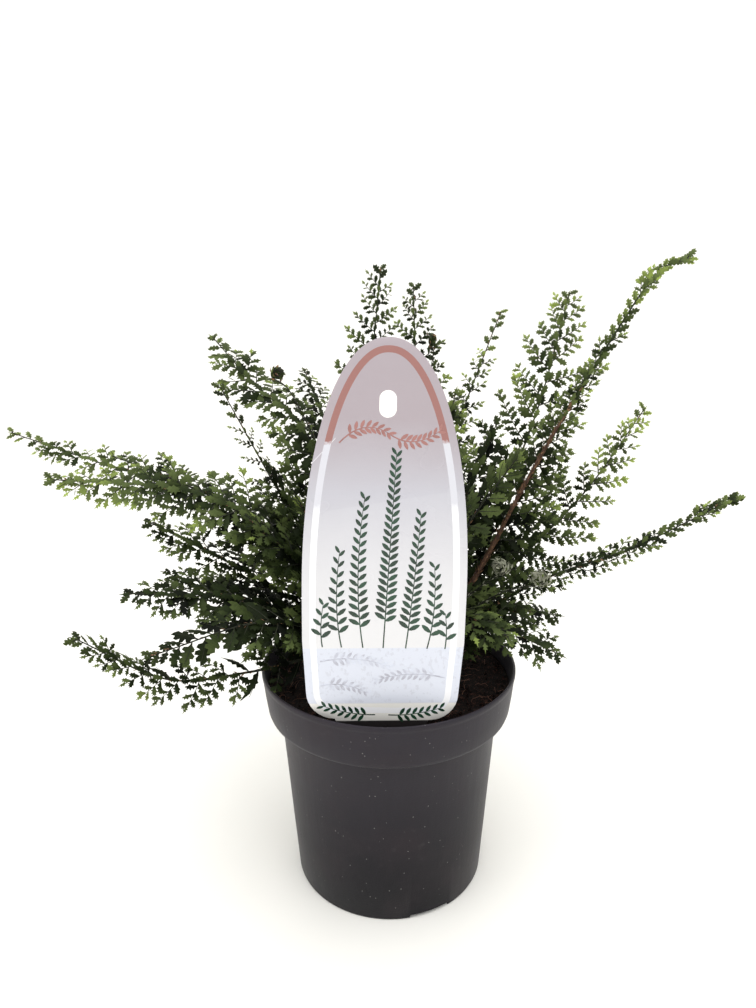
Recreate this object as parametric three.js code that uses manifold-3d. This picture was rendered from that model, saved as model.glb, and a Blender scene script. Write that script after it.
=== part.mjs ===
// A soft shield fern in a 13 cm nursery pot, with its plant label. Millimetres, +Z up.
// The origin is the centre of the pot's underside. The label stands on the -Y side, the front.

import * as THREE from 'three';
import { mergeVertices } from 'three/addons/utils/BufferGeometryUtils.js';
import Module from 'manifold-3d';

const wasm = await Module();
wasm.setup();

// Pot
const POT_TOP_RADIUS = 65;
const POT_HEIGHT = 117;
const POT_SIDES = 36;
const WALL = 1.3;
const FLOOR = 3.4;
const FOOT_RADIUS = 49.5;
const FOOT_ROUNDING = 1.2;
const BODY_TOP_RADIUS = 56;
const BODY_TOP = 91;
const BAND_BOTTOM_RADIUS = 62.4;
const BAND_BOTTOM = 95.5;
const NOTCH_HEADINGS = [53.5, 173.5, 293.5];
const NOTCH_WIDTH = 21.5;
const NOTCH_HEIGHT = 2.2;
const NOTCH_INNER_RADIUS = 33;
const DRAIN_RADIUS = 4;
const DRAIN_AT = 38;

// Soil
const GAP = 0.3;
const SOIL_TOP = 108;
const SOIL_UNEVEN = 1;
const SOIL_RINGS = [26, 45];
const SOIL_EDGE = 10;

// Crown of the fern, the scaly head in which the stalks stand
const CROWN_RADIUS = 20;
const CROWN_DEPTH = 8;
const CROWN_HEIGHT = 9;
const CROWN_SIDES = 18;
const CROWN_RINGS = [0.25, 0.55, 0.85];
const CROWN_KNOBS = 0.8;
const CROWN_KNOB_COUNT = 7;
const SEAT_RADII = { outer: 12.5, middle: 8.3, inner: 4 };
const SEAT_HEIGHT = -4;
const SEAT_LENGTH = 16;
const LEAST_RISE = 45;
const MOST_RISE = 80;
const RISE_ABOVE_SLOPE = 8;

// Label
const LABEL_THICK = 0.8;
const LABEL_FRONT = -50;
const LABEL_DATUM = 105;
const LABEL_LEAN = 0.8;
const LABEL_TILT = 1.5;
const LABEL_OFFSET = -4.1;
const LABEL_HALF_WIDTH = 36;
const LABEL_SHOULDER = 66;
const LABEL_TOP = 178.3;
const LABEL_ROUNDNESS = 2.15;
const LABEL_STRAIGHT_FROM = 46;
const LABEL_FOOT_HALF_WIDTH = 34.4;
const LABEL_FOOT = 7.6;
const LABEL_CORNER = 13;
const STAKE_HALF_WIDTH = 22;
const STAKE_TIP_HALF_WIDTH = 1.5;
const STAKE_END = -40;
const HANG_HOLE_AT = 151.4;
const HANG_HOLE_WIDTH = 7.2;
const HANG_HOLE_HEIGHT = 11.4;

// Fronds
const STALK_HALF_WIDTH = 1.15;
const STALK_TIP_HALF_WIDTH = 0.5;
const STALK_HALF_DEPTH = 1.05;
const STALK_TIP_HALF_DEPTH = 0.4;
const BLADE_THICK = 0.75;
const PAIR_SPACING = 19.5;
const CLEARANCE = 0.35;
const ROOT_HALF_LENGTH = 1.3;
const ROOT_TIP_HALF_LENGTH = 0.8;
const FORWARD_AT_BASE = 72;
const FORWARD_AT_TIP = 44;
const FORWARD_SPREAD = 8;
const RIB_HALF_WIDTH = 1.1;
const TEETH_FROM_LENGTHS = [9, 21, 34];
const TOOTH_REACH = 6.4;
const TOOTH_SHARE = 0.26;
const TOOTH_TAPER = 0.62;
const TOOTH_LIFT = 0.14;
const BLADE_ARCH = 0.16;
const TERMINAL_SHARE = 0.3;
const DROOP = 6;
const BENDS = [0, 14, -14, 28, -28, 42, -42, 56];
const SHARES = [1, 0.8, 0.62, 0.46];
const COIL_RADIUS = 5.2;
const COIL_END_RADIUS = 2.7;
const COIL_TURN = 300;
const COIL_STEPS = 8;
const COIL_HALF_WIDTH = 1.5;
const COIL_END_HALF_WIDTH = 1;
const COIL_HALF_DEPTH = 0.8;
const COIL_END_HALF_DEPTH = 1.1;

// Each frond: the way it heads, the ring and heading of its seat in the crown, the points that its stalk
// passes as reach, height above the soil and, off its heading, degrees aside, its longest pinna, the share
// of the stalk that is bare, and the angle by which its pinnae fold up, where they do.
const FRONDS = [
  {
    name: 'frond_left_long', heading: 190, ring: 'middle', seat: 197,
    way: [[40, 66], [88, 102], [154, 113]], pinna: 40, bare: 0.24,
  },
  {
    name: 'frond_left_farthest', heading: 172, ring: 'middle', seat: 170,
    way: [[38, 60], [88, 94], [140, 108], [194, 125]], pinna: 38, bare: 0.24,
  },
  {
    name: 'frond_left_upper', heading: 145, ring: 'inner', seat: 150,
    way: [[28, 72], [52, 124], [84, 145], [115, 170]], pinna: 36, bare: 0.2,
  },
  {
    name: 'frond_left_rising', heading: 160, ring: 'middle', seat: 145,
    way: [[32, 52], [56, 94], [82, 151]], pinna: 36, bare: 0.24,
  },
  {
    name: 'crozier_left', heading: 172, ring: 'inner', seat: 205,
    way: [[20, 60], [31, 112], [46, 146], [54, 153]], pinna: 24, bare: 0.35, coiled: true,
  },
  {
    name: 'frond_left_mid', heading: 186, ring: 'outer', seat: 156,
    way: [[34, 34], [72, 62], [114, 88]], pinna: 34, bare: 0.28,
  },
  {
    name: 'frond_left_low', heading: 205, ring: 'outer', seat: 192,
    way: [[36, 34], [76, 57], [124, 68]], pinna: 26, bare: 0.3,
  },
  {
    name: 'frond_left_inner', heading: 178, ring: 'outer', seat: 174,
    way: [[34, 20], [70, 36], [111, 56]], pinna: 32, bare: 0.3,
  },
  {
    name: 'frond_left_lowest', heading: 208, ring: 'outer', seat: 210,
    way: [[34, 20], [74, 21], [112, 27], [148, 55]], pinna: 30, bare: 0.3,
  },
  {
    name: 'frond_left_front', heading: 223, ring: 'outer', seat: 228,
    way: [[38, 34], [76, 54], [129, 56]], pinna: 32, bare: 0.3,
  },
  {
    name: 'frond_left_upright', heading: 215, ring: 'middle', seat: 226,
    way: [[18, 34], [34, 72], [50, 104]], pinna: 26, bare: 0.25,
  },
  {
    name: 'frond_right_tall', heading: 8, ring: 'middle', seat: 8,
    way: [[43, 48], [76, 112], [118, 180], [148, 209]], pinna: 30, bare: 0.2, fold: 12,
  },
  {
    name: 'frond_right_bright', heading: 38, ring: 'middle', seat: 34,
    way: [[40, 36], [80, 81], [108, 128], [131, 192]], pinna: 40, bare: 0.22,
  },
  {
    name: 'frond_right_slender', heading: 48, ring: 'middle', seat: 58,
    way: [[26, 60], [52, 116], [95, 182]], pinna: 24, bare: 0.3,
  },
  {
    name: 'crozier_right', heading: 58, ring: 'inner', seat: 12,
    way: [[16, 60], [31, 116], [43, 152], [48, 168]], pinna: 18, bare: 0.4, coiled: true,
  },
  {
    name: 'frond_right_light', heading: 20, ring: 'outer', seat: 26,
    way: [[42, 28], [87, 64], [118, 92], [149, 131]], pinna: 34, bare: 0.24,
  },
  {
    name: 'frond_right_low', heading: -8, ring: 'outer', seat: 352,
    way: [[38, 30], [75, 56], [118, 76], [162, 103]], pinna: 30, bare: 0.24, fold: 26,
  },
  {
    name: 'frond_right_front', heading: -25, ring: 'outer', seat: 335,
    way: [[30, 30], [55, 38], [86, 30]], pinna: 26, bare: 0.3,
  },
  {
    name: 'frond_right_short', heading: 2, ring: 'outer', seat: 8,
    way: [[30, 17], [58, 34], [86, 32]], pinna: 24, bare: 0.35,
  },
  {
    name: 'frond_front_right', heading: -45, ring: 'outer', seat: 315,
    way: [[26, 34], [48, 48], [74, 46]], pinna: 24, bare: 0.3,
  },
  {
    name: 'frond_right_upright', heading: 322, ring: 'middle', seat: 318,
    way: [[18, 34], [34, 74], [46, 106]], pinna: 26, bare: 0.25,
  },
  {
    name: 'frond_back_tallest', heading: 93, ring: 'inner', seat: 105,
    way: [[17, 68, 18], [32, 138, 12], [45, 204]], pinna: 30, bare: 0.3,
  },
  {
    name: 'frond_back_tall', heading: 75, ring: 'inner', seat: 58,
    way: [[18, 66, -8], [38, 134, -8], [58, 196]], pinna: 30, bare: 0.3,
  },
  {
    name: 'frond_back_left', heading: 118, ring: 'middle', seat: 120,
    way: [[30, 60], [62, 112], [100, 150]], pinna: 34, bare: 0.22,
  },
  {
    name: 'frond_back_right', heading: 66, ring: 'middle', seat: 84,
    way: [[34, 58], [72, 104], [112, 132]], pinna: 34, bare: 0.22,
  },
  {
    name: 'frond_back_low', heading: 100, ring: 'outer', seat: 100,
    way: [[40, 46], [86, 78], [136, 84]], pinna: 34, bare: 0.26,
  },
  {
    name: 'frond_back_low_left', heading: 135, ring: 'outer', seat: 136,
    way: [[40, 40], [84, 66], [130, 72]], pinna: 34, bare: 0.26,
  },
  {
    name: 'frond_back_low_right', heading: 50, ring: 'outer', seat: 52,
    way: [[42, 36], [88, 58], [134, 62]], pinna: 32, bare: 0.26,
  },
];

const radians = THREE.MathUtils.degToRad;
const mix = THREE.MathUtils.lerp;

// Seeded random numbers between 0 and 1
function randomFrom(seed) {
  let state = seed >>> 0;
  return () => {
    state = (state + 0x6d2b79f5) >>> 0;
    let mixed = Math.imul(state ^ (state >>> 15), 1 | state);
    mixed = (mixed + Math.imul(mixed ^ (mixed >>> 7), 61 | mixed)) ^ mixed;
    return ((mixed ^ (mixed >>> 14)) >>> 0) / 4294967296;
  };
}

function polar(radius, heading, height) {
  const angle = radians(heading);
  return new THREE.Vector3(radius * Math.cos(angle), radius * Math.sin(angle), height);
}

// Solids and geometries

function solidFromArrays(positions, triangles) {
  const mesh = new wasm.Mesh({
    numProp: 3,
    vertProperties: new Float32Array(positions),
    triVerts: new Uint32Array(triangles),
  });
  return new wasm.Manifold(mesh);
}

function solidFromGeometry(geometry) {
  const bare = new THREE.BufferGeometry();
  bare.setAttribute('position', geometry.getAttribute('position'));
  bare.setIndex(geometry.getIndex());
  const merged = mergeVertices(bare, 1e-4);
  return solidFromArrays(merged.getAttribute('position').array, merged.getIndex().array);
}

function geometryFromSolid(solid) {
  const { vertProperties, triVerts } = solid.getMesh();
  const geometry = new THREE.BufferGeometry();
  geometry.setAttribute('position', new THREE.BufferAttribute(vertProperties, 3));
  geometry.setIndex(new THREE.BufferAttribute(triVerts, 1));
  geometry.computeVertexNormals();
  return geometry;
}

function turned(profile, sides) {
  const points = profile.map(([radius, height]) => new THREE.Vector2(radius, height));
  return new THREE.LatheGeometry(points, sides).rotateX(Math.PI / 2);
}

// Pot

function potProfile() {
  return [
    [0, 0],
    [FOOT_RADIUS - FOOT_ROUNDING, 0],
    [FOOT_RADIUS, FOOT_ROUNDING],
    [BODY_TOP_RADIUS, BODY_TOP],
    [BAND_BOTTOM_RADIUS, BAND_BOTTOM],
    [POT_TOP_RADIUS, POT_HEIGHT],
    [POT_TOP_RADIUS - WALL, POT_HEIGHT],
    [BAND_BOTTOM_RADIUS - WALL, BAND_BOTTOM + WALL],
    [BODY_TOP_RADIUS - WALL, BODY_TOP + WALL],
    [FOOT_RADIUS - WALL, FLOOR],
    [0, FLOOR],
  ];
}

function drainNotch(heading) {
  const length = FOOT_RADIUS + WALL - NOTCH_INNER_RADIUS;
  const box = new THREE.BoxGeometry(length, NOTCH_WIDTH, 2 * NOTCH_HEIGHT);
  box.translate(NOTCH_INNER_RADIUS + length / 2, 0, 0);
  return solidFromGeometry(box.rotateZ(radians(heading)));
}

function drainHole(heading) {
  const hole = new THREE.CylinderGeometry(DRAIN_RADIUS, DRAIN_RADIUS, 4 * FLOOR, 16);
  hole.rotateX(Math.PI / 2).translate(DRAIN_AT, 0, 0);
  return solidFromGeometry(hole.rotateZ(radians(heading)));
}

function makePot() {
  let pot = solidFromGeometry(turned(potProfile(), POT_SIDES));
  for (const heading of NOTCH_HEADINGS) {
    pot = pot.subtract(drainNotch(heading)).subtract(drainHole(heading));
  }
  return pot;
}

// Soil, with a recess for the crown and a slot for the label's stake

function soilGeometry() {
  const inside = WALL + GAP;
  const profile = [
    [0, FLOOR + GAP],
    [FOOT_RADIUS - inside, FLOOR + GAP],
    [BODY_TOP_RADIUS - inside, BODY_TOP + inside],
    [BAND_BOTTOM_RADIUS - inside, BAND_BOTTOM + inside],
    [mix(BAND_BOTTOM_RADIUS, POT_TOP_RADIUS, 0.5) - inside, SOIL_TOP],
    ...SOIL_RINGS.toReversed().map((radius) => [radius, SOIL_TOP]),
    [0, SOIL_TOP],
  ];
  const soil = turned(profile, POT_SIDES);
  const places = soil.getAttribute('position');
  for (let i = 0; i < places.count; i += 1) {
    const reach = Math.hypot(places.getX(i), places.getY(i));
    if (places.getZ(i) === SOIL_TOP && reach > CROWN_RADIUS && reach < POT_TOP_RADIUS - SOIL_EDGE) {
      const x = places.getX(i);
      const y = places.getY(i);
      const swell = Math.sin(x * 0.31 + 1) * Math.cos(y * 0.27) + 0.6 * Math.sin(x * 0.13 - y * 0.53);
      places.setZ(i, SOIL_TOP + (SOIL_UNEVEN * swell) / 1.6);
    }
  }
  return soil;
}

function crownRecess() {
  const radius = CROWN_RADIUS + GAP;
  const depth = CROWN_DEPTH + GAP;
  return solidFromGeometry(turned([[0, 0], [radius, 0], [radius, 3 * depth], [0, 3 * depth]], CROWN_SIDES))
    .translate([0, 0, SOIL_TOP - depth]);
}

function makeSoil() {
  return solidFromGeometry(soilGeometry()).subtract(crownRecess()).subtract(stakeSlot());
}

// Crown, a knobby dome with one hole for each stalk

function crownGeometry() {
  const dome = CROWN_RINGS.map((share) => [CROWN_RADIUS * Math.sqrt(1 - share ** 2), CROWN_HEIGHT * share]);
  const profile = [
    [0, -CROWN_DEPTH],
    [CROWN_RADIUS, -CROWN_DEPTH],
    [CROWN_RADIUS, 0],
    ...dome,
    [0, CROWN_HEIGHT],
  ];
  const crown = turned(profile, CROWN_SIDES);
  const places = crown.getAttribute('position');
  for (let i = 0; i < places.count; i += 1) {
    const height = places.getZ(i);
    const reach = Math.hypot(places.getX(i), places.getY(i));
    if (height > 0 && reach > 1) {
      const heading = Math.atan2(places.getY(i), places.getX(i));
      places.setZ(i, height + CROWN_KNOBS * Math.sin(heading * CROWN_KNOB_COUNT + height));
    }
  }
  return crown.translate(0, 0, SOIL_TOP);
}

function makeCrown(stalks) {
  let crown = solidFromGeometry(crownGeometry());
  for (const stalk of stalks) {
    crown = crown.subtract(seatHole(stalk));
  }
  return crown;
}

// Label, a flat tongue with a stake below it and a hanging hole near its top

function tongueOutline() {
  const outline = new THREE.Shape();
  const power = 2 / LABEL_ROUNDNESS;
  const steps = 24;
  outline.moveTo(STAKE_HALF_WIDTH, LABEL_FOOT);
  outline.lineTo(LABEL_FOOT_HALF_WIDTH - LABEL_CORNER, LABEL_FOOT);
  const corner = LABEL_FOOT + LABEL_CORNER;
  outline.absarc(LABEL_FOOT_HALF_WIDTH - LABEL_CORNER, corner, LABEL_CORNER, -Math.PI / 2, 0, false);
  outline.lineTo(LABEL_HALF_WIDTH, LABEL_STRAIGHT_FROM);
  for (let i = 0; i <= steps; i += 1) {
    const angle = (Math.PI * i) / steps;
    const across = Math.sign(Math.cos(angle)) * Math.abs(Math.cos(angle)) ** power;
    const along = Math.sin(angle) ** power;
    outline.lineTo(LABEL_HALF_WIDTH * across, mix(LABEL_SHOULDER, LABEL_TOP, along));
  }
  outline.lineTo(-LABEL_HALF_WIDTH, LABEL_STRAIGHT_FROM);
  outline.lineTo(-LABEL_FOOT_HALF_WIDTH, corner);
  outline.absarc(-LABEL_FOOT_HALF_WIDTH + LABEL_CORNER, corner, LABEL_CORNER, Math.PI, 1.5 * Math.PI, false);
  outline.lineTo(-STAKE_HALF_WIDTH, LABEL_FOOT);
  outline.lineTo(-STAKE_TIP_HALF_WIDTH, STAKE_END);
  outline.lineTo(STAKE_TIP_HALF_WIDTH, STAKE_END);
  return outline;
}

function hangHole() {
  const hole = new THREE.Path();
  const radius = HANG_HOLE_WIDTH / 2;
  const half = HANG_HOLE_HEIGHT / 2 - radius;
  hole.absarc(0, HANG_HOLE_AT + half, radius, 0, Math.PI, false);
  hole.absarc(0, HANG_HOLE_AT - half, radius, Math.PI, 2 * Math.PI, false);
  return hole;
}

// Stands a flat extrusion of the label's plane where the label is
function stoodInPlace(solid, thick) {
  return solid
    .translate([0, 0, -thick / 2])
    .rotate([0, 0, -LABEL_TILT])
    .rotate([90 - LABEL_LEAN, 0, 0])
    .translate([LABEL_OFFSET, LABEL_FRONT, LABEL_DATUM]);
}

function makeLabel() {
  const outline = tongueOutline();
  outline.holes.push(hangHole());
  const extrusion = { depth: LABEL_THICK, bevelEnabled: false, curveSegments: 6 };
  const flat = new THREE.ExtrudeGeometry(outline, extrusion);
  return stoodInPlace(solidFromGeometry(flat), LABEL_THICK);
}

function stakeSlot() {
  const clear = 2 * GAP;
  const outline = new THREE.Shape();
  outline.moveTo(STAKE_HALF_WIDTH + clear, LABEL_FOOT);
  outline.lineTo(-STAKE_HALF_WIDTH - clear, LABEL_FOOT);
  outline.lineTo(-STAKE_TIP_HALF_WIDTH - clear, STAKE_END - GAP);
  outline.lineTo(STAKE_TIP_HALF_WIDTH + clear, STAKE_END - GAP);
  const thick = LABEL_THICK + 2 * GAP;
  const flat = new THREE.ExtrudeGeometry(outline, { depth: thick, bevelEnabled: false });
  return stoodInPlace(solidFromGeometry(flat), thick);
}

// Stalks. A stalk is a row of stations, each with its place, its frame and its half sizes.

class StalkCurve extends THREE.Curve {
  constructor(knots, start) {
    super();
    this.knots = knots;
    const last = knots.length - 1;
    this.slopes = knots.map((knot, i) => {
      if (i === 0) return start.clone().multiplyScalar(knots[1].distanceTo(knots[0]));
      if (i === last) return knot.clone().sub(knots[last - 1]);
      return knots[i + 1].clone().sub(knots[i - 1]).multiplyScalar(0.5);
    });
  }

  getPoint(t, target = new THREE.Vector3()) {
    const spans = this.knots.length - 1;
    const span = Math.min(Math.floor(t * spans), spans - 1);
    const u = t * spans - span;
    const v = 1 - u;
    return target
      .set(0, 0, 0)
      .addScaledVector(this.knots[span], v * v * (1 + 2 * u))
      .addScaledVector(this.slopes[span], v * v * u)
      .addScaledVector(this.knots[span + 1], u * u * (1 + 2 * v))
      .addScaledVector(this.slopes[span + 1], -u * u * v);
  }
}

function stalkOf(frond) {
  const seatRadius = SEAT_RADII[frond.ring];
  const root = polar(seatRadius, frond.seat, SOIL_TOP + SEAT_HEIGHT);
  const way = frond.way.map(([wayReach, wayHeight, aside = 0]) => (
    polar(wayReach, frond.heading + aside, SOIL_TOP + wayHeight)
  ));
  const [reach, height] = frond.way[0];
  const slope = THREE.MathUtils.radToDeg(Math.atan2(height - SEAT_HEIGHT, reach - seatRadius));
  const rise = radians(THREE.MathUtils.clamp(slope + RISE_ABOVE_SLOPE, LEAST_RISE, MOST_RISE));
  const start = polar(Math.cos(rise), frond.seat, Math.sin(rise));
  const exit = root.clone().addScaledVector(start, SEAT_LENGTH);
  const curve = new StalkCurve([exit, ...way], start);
  const across = polar(1, frond.heading + 90, 0);
  return { frond, root, start, exit, curve, across, length: curve.getLength() };
}

// The frame of a stalk that runs along tangent: side is to the left of its way out, up is its upper face
function frameAt(tangent, across) {
  const side = across.clone().addScaledVector(tangent, -across.dot(tangent)).normalize();
  const up = tangent.clone().cross(side);
  return { tangent, side, up };
}

function stationAt(stalk, share) {
  const tangent = stalk.curve.getTangentAt(share);
  return {
    point: stalk.curve.getPointAt(share),
    halfWidth: mix(STALK_HALF_WIDTH, STALK_TIP_HALF_WIDTH, share),
    halfDepth: mix(STALK_HALF_DEPTH, STALK_TIP_HALF_DEPTH, share),
    ...frameAt(tangent, stalk.across),
  };
}

function seatStation(stalk, along) {
  return {
    point: stalk.root.clone().addScaledVector(stalk.start, along),
    halfWidth: STALK_HALF_WIDTH,
    halfDepth: STALK_HALF_DEPTH,
    ...frameAt(stalk.start, stalk.across),
  };
}

// A closed row of stations, with leaflets in the side faces that they are given for

class Shell {
  constructor() {
    this.positions = [];
    this.triangles = [];
  }

  point(vector) {
    this.positions.push(vector.x, vector.y, vector.z);
    return this.positions.length / 3 - 1;
  }

  triangle(a, b, c) {
    this.triangles.push(a, b, c);
  }

  quad(a, b, c, d) {
    this.triangle(a, b, c);
    this.triangle(a, c, d);
  }

  // Adds a leaflet on four points of the shell that are there already
  leaflet(leaflet, corners) {
    const added = leaflet.points.slice(4).map((vector) => this.point(vector));
    const indices = [...corners, ...added];
    for (const [a, b, c] of leaflet.faces) {
      this.triangle(indices[a], indices[b], indices[c]);
    }
  }

  solid() {
    return solidFromArrays(this.positions, this.triangles);
  }
}

function cornersOf({ point, side, up, halfWidth, halfDepth }) {
  return [[1, 1], [-1, 1], [-1, -1], [1, -1]].map(([across, above]) => point
    .clone()
    .addScaledVector(side, across * halfWidth)
    .addScaledVector(up, above * halfDepth));
}

function stalkShell(stations, leaflets) {
  const shell = new Shell();
  const rings = stations.map((station) => cornersOf(station).map((corner) => shell.point(corner)));
  const last = rings.length - 1;
  const [leftTop, rightTop, rightLow, leftLow] = rings[0];
  shell.quad(leftLow, rightLow, rightTop, leftTop);
  for (let k = 0; k < last; k += 1) {
    const near = rings[k];
    const far = rings[k + 1];
    for (let i = 0; i < 4; i += 1) {
      const j = (i + 1) % 4;
      const grown = leaflets.get(`${k} ${i}`);
      if (grown) {
        shell.leaflet(grown, rootCorners(near, far, i));
      } else {
        shell.quad(near[i], near[j], far[j], far[i]);
      }
    }
  }
  const terminal = leaflets.get('end');
  const [endLeftTop, endRightTop, endRightLow, endLeftLow] = rings[last];
  if (terminal) {
    shell.leaflet(terminal, rings[last]);
  } else {
    shell.quad(endLeftTop, endRightTop, endRightLow, endLeftLow);
  }
  return shell;
}

const RIGHT = 1;
const LEFT = 3;

// The four corners of a side face, in the order that a leaflet grows from them
function rootCorners(near, far, face) {
  return face === LEFT ? [near[0], far[0], far[3], near[3]] : [far[1], near[1], near[2], far[2]];
}

// Leaflets. A leaflet is a thin arched blade, cut to its rib into pairs of forward-pointing teeth.

function leafletOn(corners, direction, length, teeth) {
  const root = new THREE.Vector3();
  corners.forEach((corner) => root.addScaledVector(corner, 0.25));
  const across = corners[1].clone().sub(corners[0]);
  across.addScaledVector(direction, -across.dot(direction)).normalize();
  const normal = across.clone().cross(direction);
  const points = [...corners];
  const faces = [];
  const place = (along, aside) => {
    const arch = TOOTH_LIFT * Math.abs(aside) - BLADE_ARCH * length * (along / length) ** 2;
    const middle = root
      .clone()
      .addScaledVector(direction, along)
      .addScaledVector(across, aside)
      .addScaledVector(normal, arch);
    points.push(middle.clone().addScaledVector(normal, BLADE_THICK / 2));
    points.push(middle.addScaledVector(normal, -BLADE_THICK / 2));
    return [points.length - 2, points.length - 1];
  };
  const face = (p, q, r) => faces.push([p[0], q[0], r[0]], [p[1], r[1], q[1]]);
  const edge = (p, q) => faces.push([q[0], p[0], p[1]], [q[0], p[1], q[1]]);
  const rib = Math.min(RIB_HALF_WIDTH, 0.06 * length + 0.3);
  let low = [0, 3];
  let high = [1, 2];
  for (let i = 0; i < teeth; i += 1) {
    const from = (length * i) / (teeth + 0.7);
    const to = (length * (i + 1)) / (teeth + 0.7);
    const reach = Math.min(TOOTH_SHARE * length, TOOTH_REACH) * (1 - (TOOTH_TAPER * i) / teeth);
    const nextLow = place(to, -rib);
    const nextHigh = place(to, rib);
    face(low, high, nextHigh);
    face(low, nextHigh, nextLow);
    const toothAt = mix(from, to, 0.95);
    const toothHigh = place(toothAt, reach);
    const toothLow = place(toothAt, -reach);
    face(high, toothHigh, nextHigh);
    edge(high, toothHigh);
    edge(toothHigh, nextHigh);
    face(nextLow, toothLow, low);
    edge(nextLow, toothLow);
    edge(toothLow, low);
    low = nextLow;
    high = nextHigh;
  }
  const tip = place(length, 0);
  face(low, high, tip);
  edge(high, tip);
  edge(tip, low);
  return { points, faces };
}

function leafletSolid({ points, faces }) {
  const positions = points.flatMap((point) => [point.x, point.y, point.z]);
  return solidFromArrays(positions, [...faces.flat(), 1, 0, 3, 1, 3, 2]);
}

function teethFor(length) {
  return TEETH_FROM_LENGTHS.filter((least) => length > least).length;
}

// What stands where. A new leaflet keeps clear of all of it.

class Standing {
  constructor() {
    this.things = [];
  }

  add(solid, owner) {
    this.things.push({ solid, owner, box: solid.boundingBox() });
  }

  isClear(solid, owner) {
    const { min, max } = solid.boundingBox();
    return this.things.every((thing) => {
      if (thing.owner === owner) return true;
      const apart = [0, 1, 2].some((axis) => thing.box.min[axis] > max[axis] + CLEARANCE
        || min[axis] > thing.box.max[axis] + CLEARANCE);
      return apart || solid.minGap(thing.solid, 2 * CLEARANCE) > CLEARANCE;
    });
  }
}

// Grows one leaflet, bent up or down or kept shorter where it would cross something
function grownLeaflet(corners, station, { sideways, forward, fold, length }, standing, owner) {
  const flat = station.side.clone().multiplyScalar(sideways * Math.sin(forward));
  flat.addScaledVector(station.tangent, Math.cos(forward));
  for (const share of SHARES) {
    for (const bend of BENDS) {
      const tilt = radians(bend + fold);
      const direction = flat.clone().multiplyScalar(Math.cos(tilt));
      direction.addScaledVector(station.up, Math.sin(tilt)).normalize();
      const leaflet = leafletOn(corners, direction, share * length, teethFor(share * length));
      const solid = leafletSolid(leaflet);
      if (standing.isClear(solid, owner)) {
        standing.add(solid, `leaflet of ${owner}`);
        return leaflet;
      }
    }
  }
  return null;
}

// How long a pinna is, against the longest, by where it stands on the leafy part of the stalk
function pinnaShare(along) {
  return Math.min(1, 0.72 + 1.1 * along) * (1 - along ** 1.9) + 0.1;
}

// A stalk's stations: its seat, its bare part, then two for each pair of pinnae, and its tip or coil
function stationsOf(stalk) {
  const { frond, length } = stalk;
  const leafy = length * (1 - frond.bare);
  const pairs = Math.max(3, Math.round(leafy / PAIR_SPACING));
  const stations = [seatStation(stalk, 0), seatStation(stalk, SEAT_LENGTH), stationAt(stalk, frond.bare / 2)];
  const places = [];
  for (let i = 0; i < pairs; i += 1) {
    const along = (i + 0.2) / pairs;
    const share = mix(frond.bare, 1, along);
    const half = mix(ROOT_HALF_LENGTH, ROOT_TIP_HALF_LENGTH, along) / length;
    places.push({ first: stations.length, along });
    stations.push(stationAt(stalk, share - half), stationAt(stalk, share + half));
  }
  stations.push(stationAt(stalk, 1));
  if (frond.coiled) {
    stations.push(...coilStations(stations.at(-1)));
  }
  return { stations, places };
}

// A crozier's tip rolls up towards its upper face in a shrinking spiral
function coilStations(end) {
  const coil = [];
  const { tangent, side, up } = end;
  const centre = end.point.clone().addScaledVector(up, COIL_RADIUS);
  for (let i = 1; i <= COIL_STEPS; i += 1) {
    const share = i / COIL_STEPS;
    const angle = radians(COIL_TURN * share);
    const radius = mix(COIL_RADIUS, COIL_END_RADIUS, share);
    const outward = tangent.clone().multiplyScalar(Math.sin(angle)).addScaledVector(up, -Math.cos(angle));
    const onward = tangent.clone().multiplyScalar(Math.cos(angle)).addScaledVector(up, Math.sin(angle));
    coil.push({
      point: centre.clone().addScaledVector(outward, radius),
      tangent: onward,
      side,
      up: outward.negate(),
      halfWidth: mix(COIL_HALF_WIDTH, COIL_END_HALF_WIDTH, share),
      halfDepth: mix(COIL_HALF_DEPTH, COIL_END_HALF_DEPTH, share),
    });
  }
  return coil;
}

function seatHole(stalk) {
  const hole = [seatStation(stalk, -GAP), seatStation(stalk, 2 * SEAT_LENGTH)];
  for (const station of hole) {
    station.halfWidth += GAP;
    station.halfDepth += GAP;
  }
  return stalkShell(hole, new Map()).solid();
}

function leafletsOf(stalk, { stations, places }, standing) {
  const { frond } = stalk;
  const random = randomFrom(frond.heading * 31 + frond.pinna + 400);
  const fold = (frond.fold ?? 0) - DROOP;
  const leaflets = new Map();
  for (const { first, along } of places) {
    for (const [face, sideways] of [[LEFT, 1], [RIGHT, -1]]) {
      const near = cornersOf(stations[first]);
      const far = cornersOf(stations[first + 1]);
      const spread = FORWARD_SPREAD * (random() - 0.5);
      const forward = radians(mix(FORWARD_AT_BASE, FORWARD_AT_TIP, along) + spread);
      const length = frond.pinna * pinnaShare(along) * (0.92 + 0.16 * random());
      const corners = rootCorners(near, far, face);
      const wish = { sideways, forward, fold, length };
      const grown = grownLeaflet(corners, stations[first], wish, standing, frond.name);
      if (grown) leaflets.set(`${first} ${face}`, grown);
    }
  }
  if (!frond.coiled) {
    const corners = cornersOf(stations.at(-1));
    const wish = { sideways: 0, forward: 0, fold: 0, length: TERMINAL_SHARE * frond.pinna };
    const grown = grownLeaflet(corners, stations.at(-1), wish, standing, frond.name);
    if (grown) leaflets.set('end', grown);
  }
  return leaflets;
}

// The assembly

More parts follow.
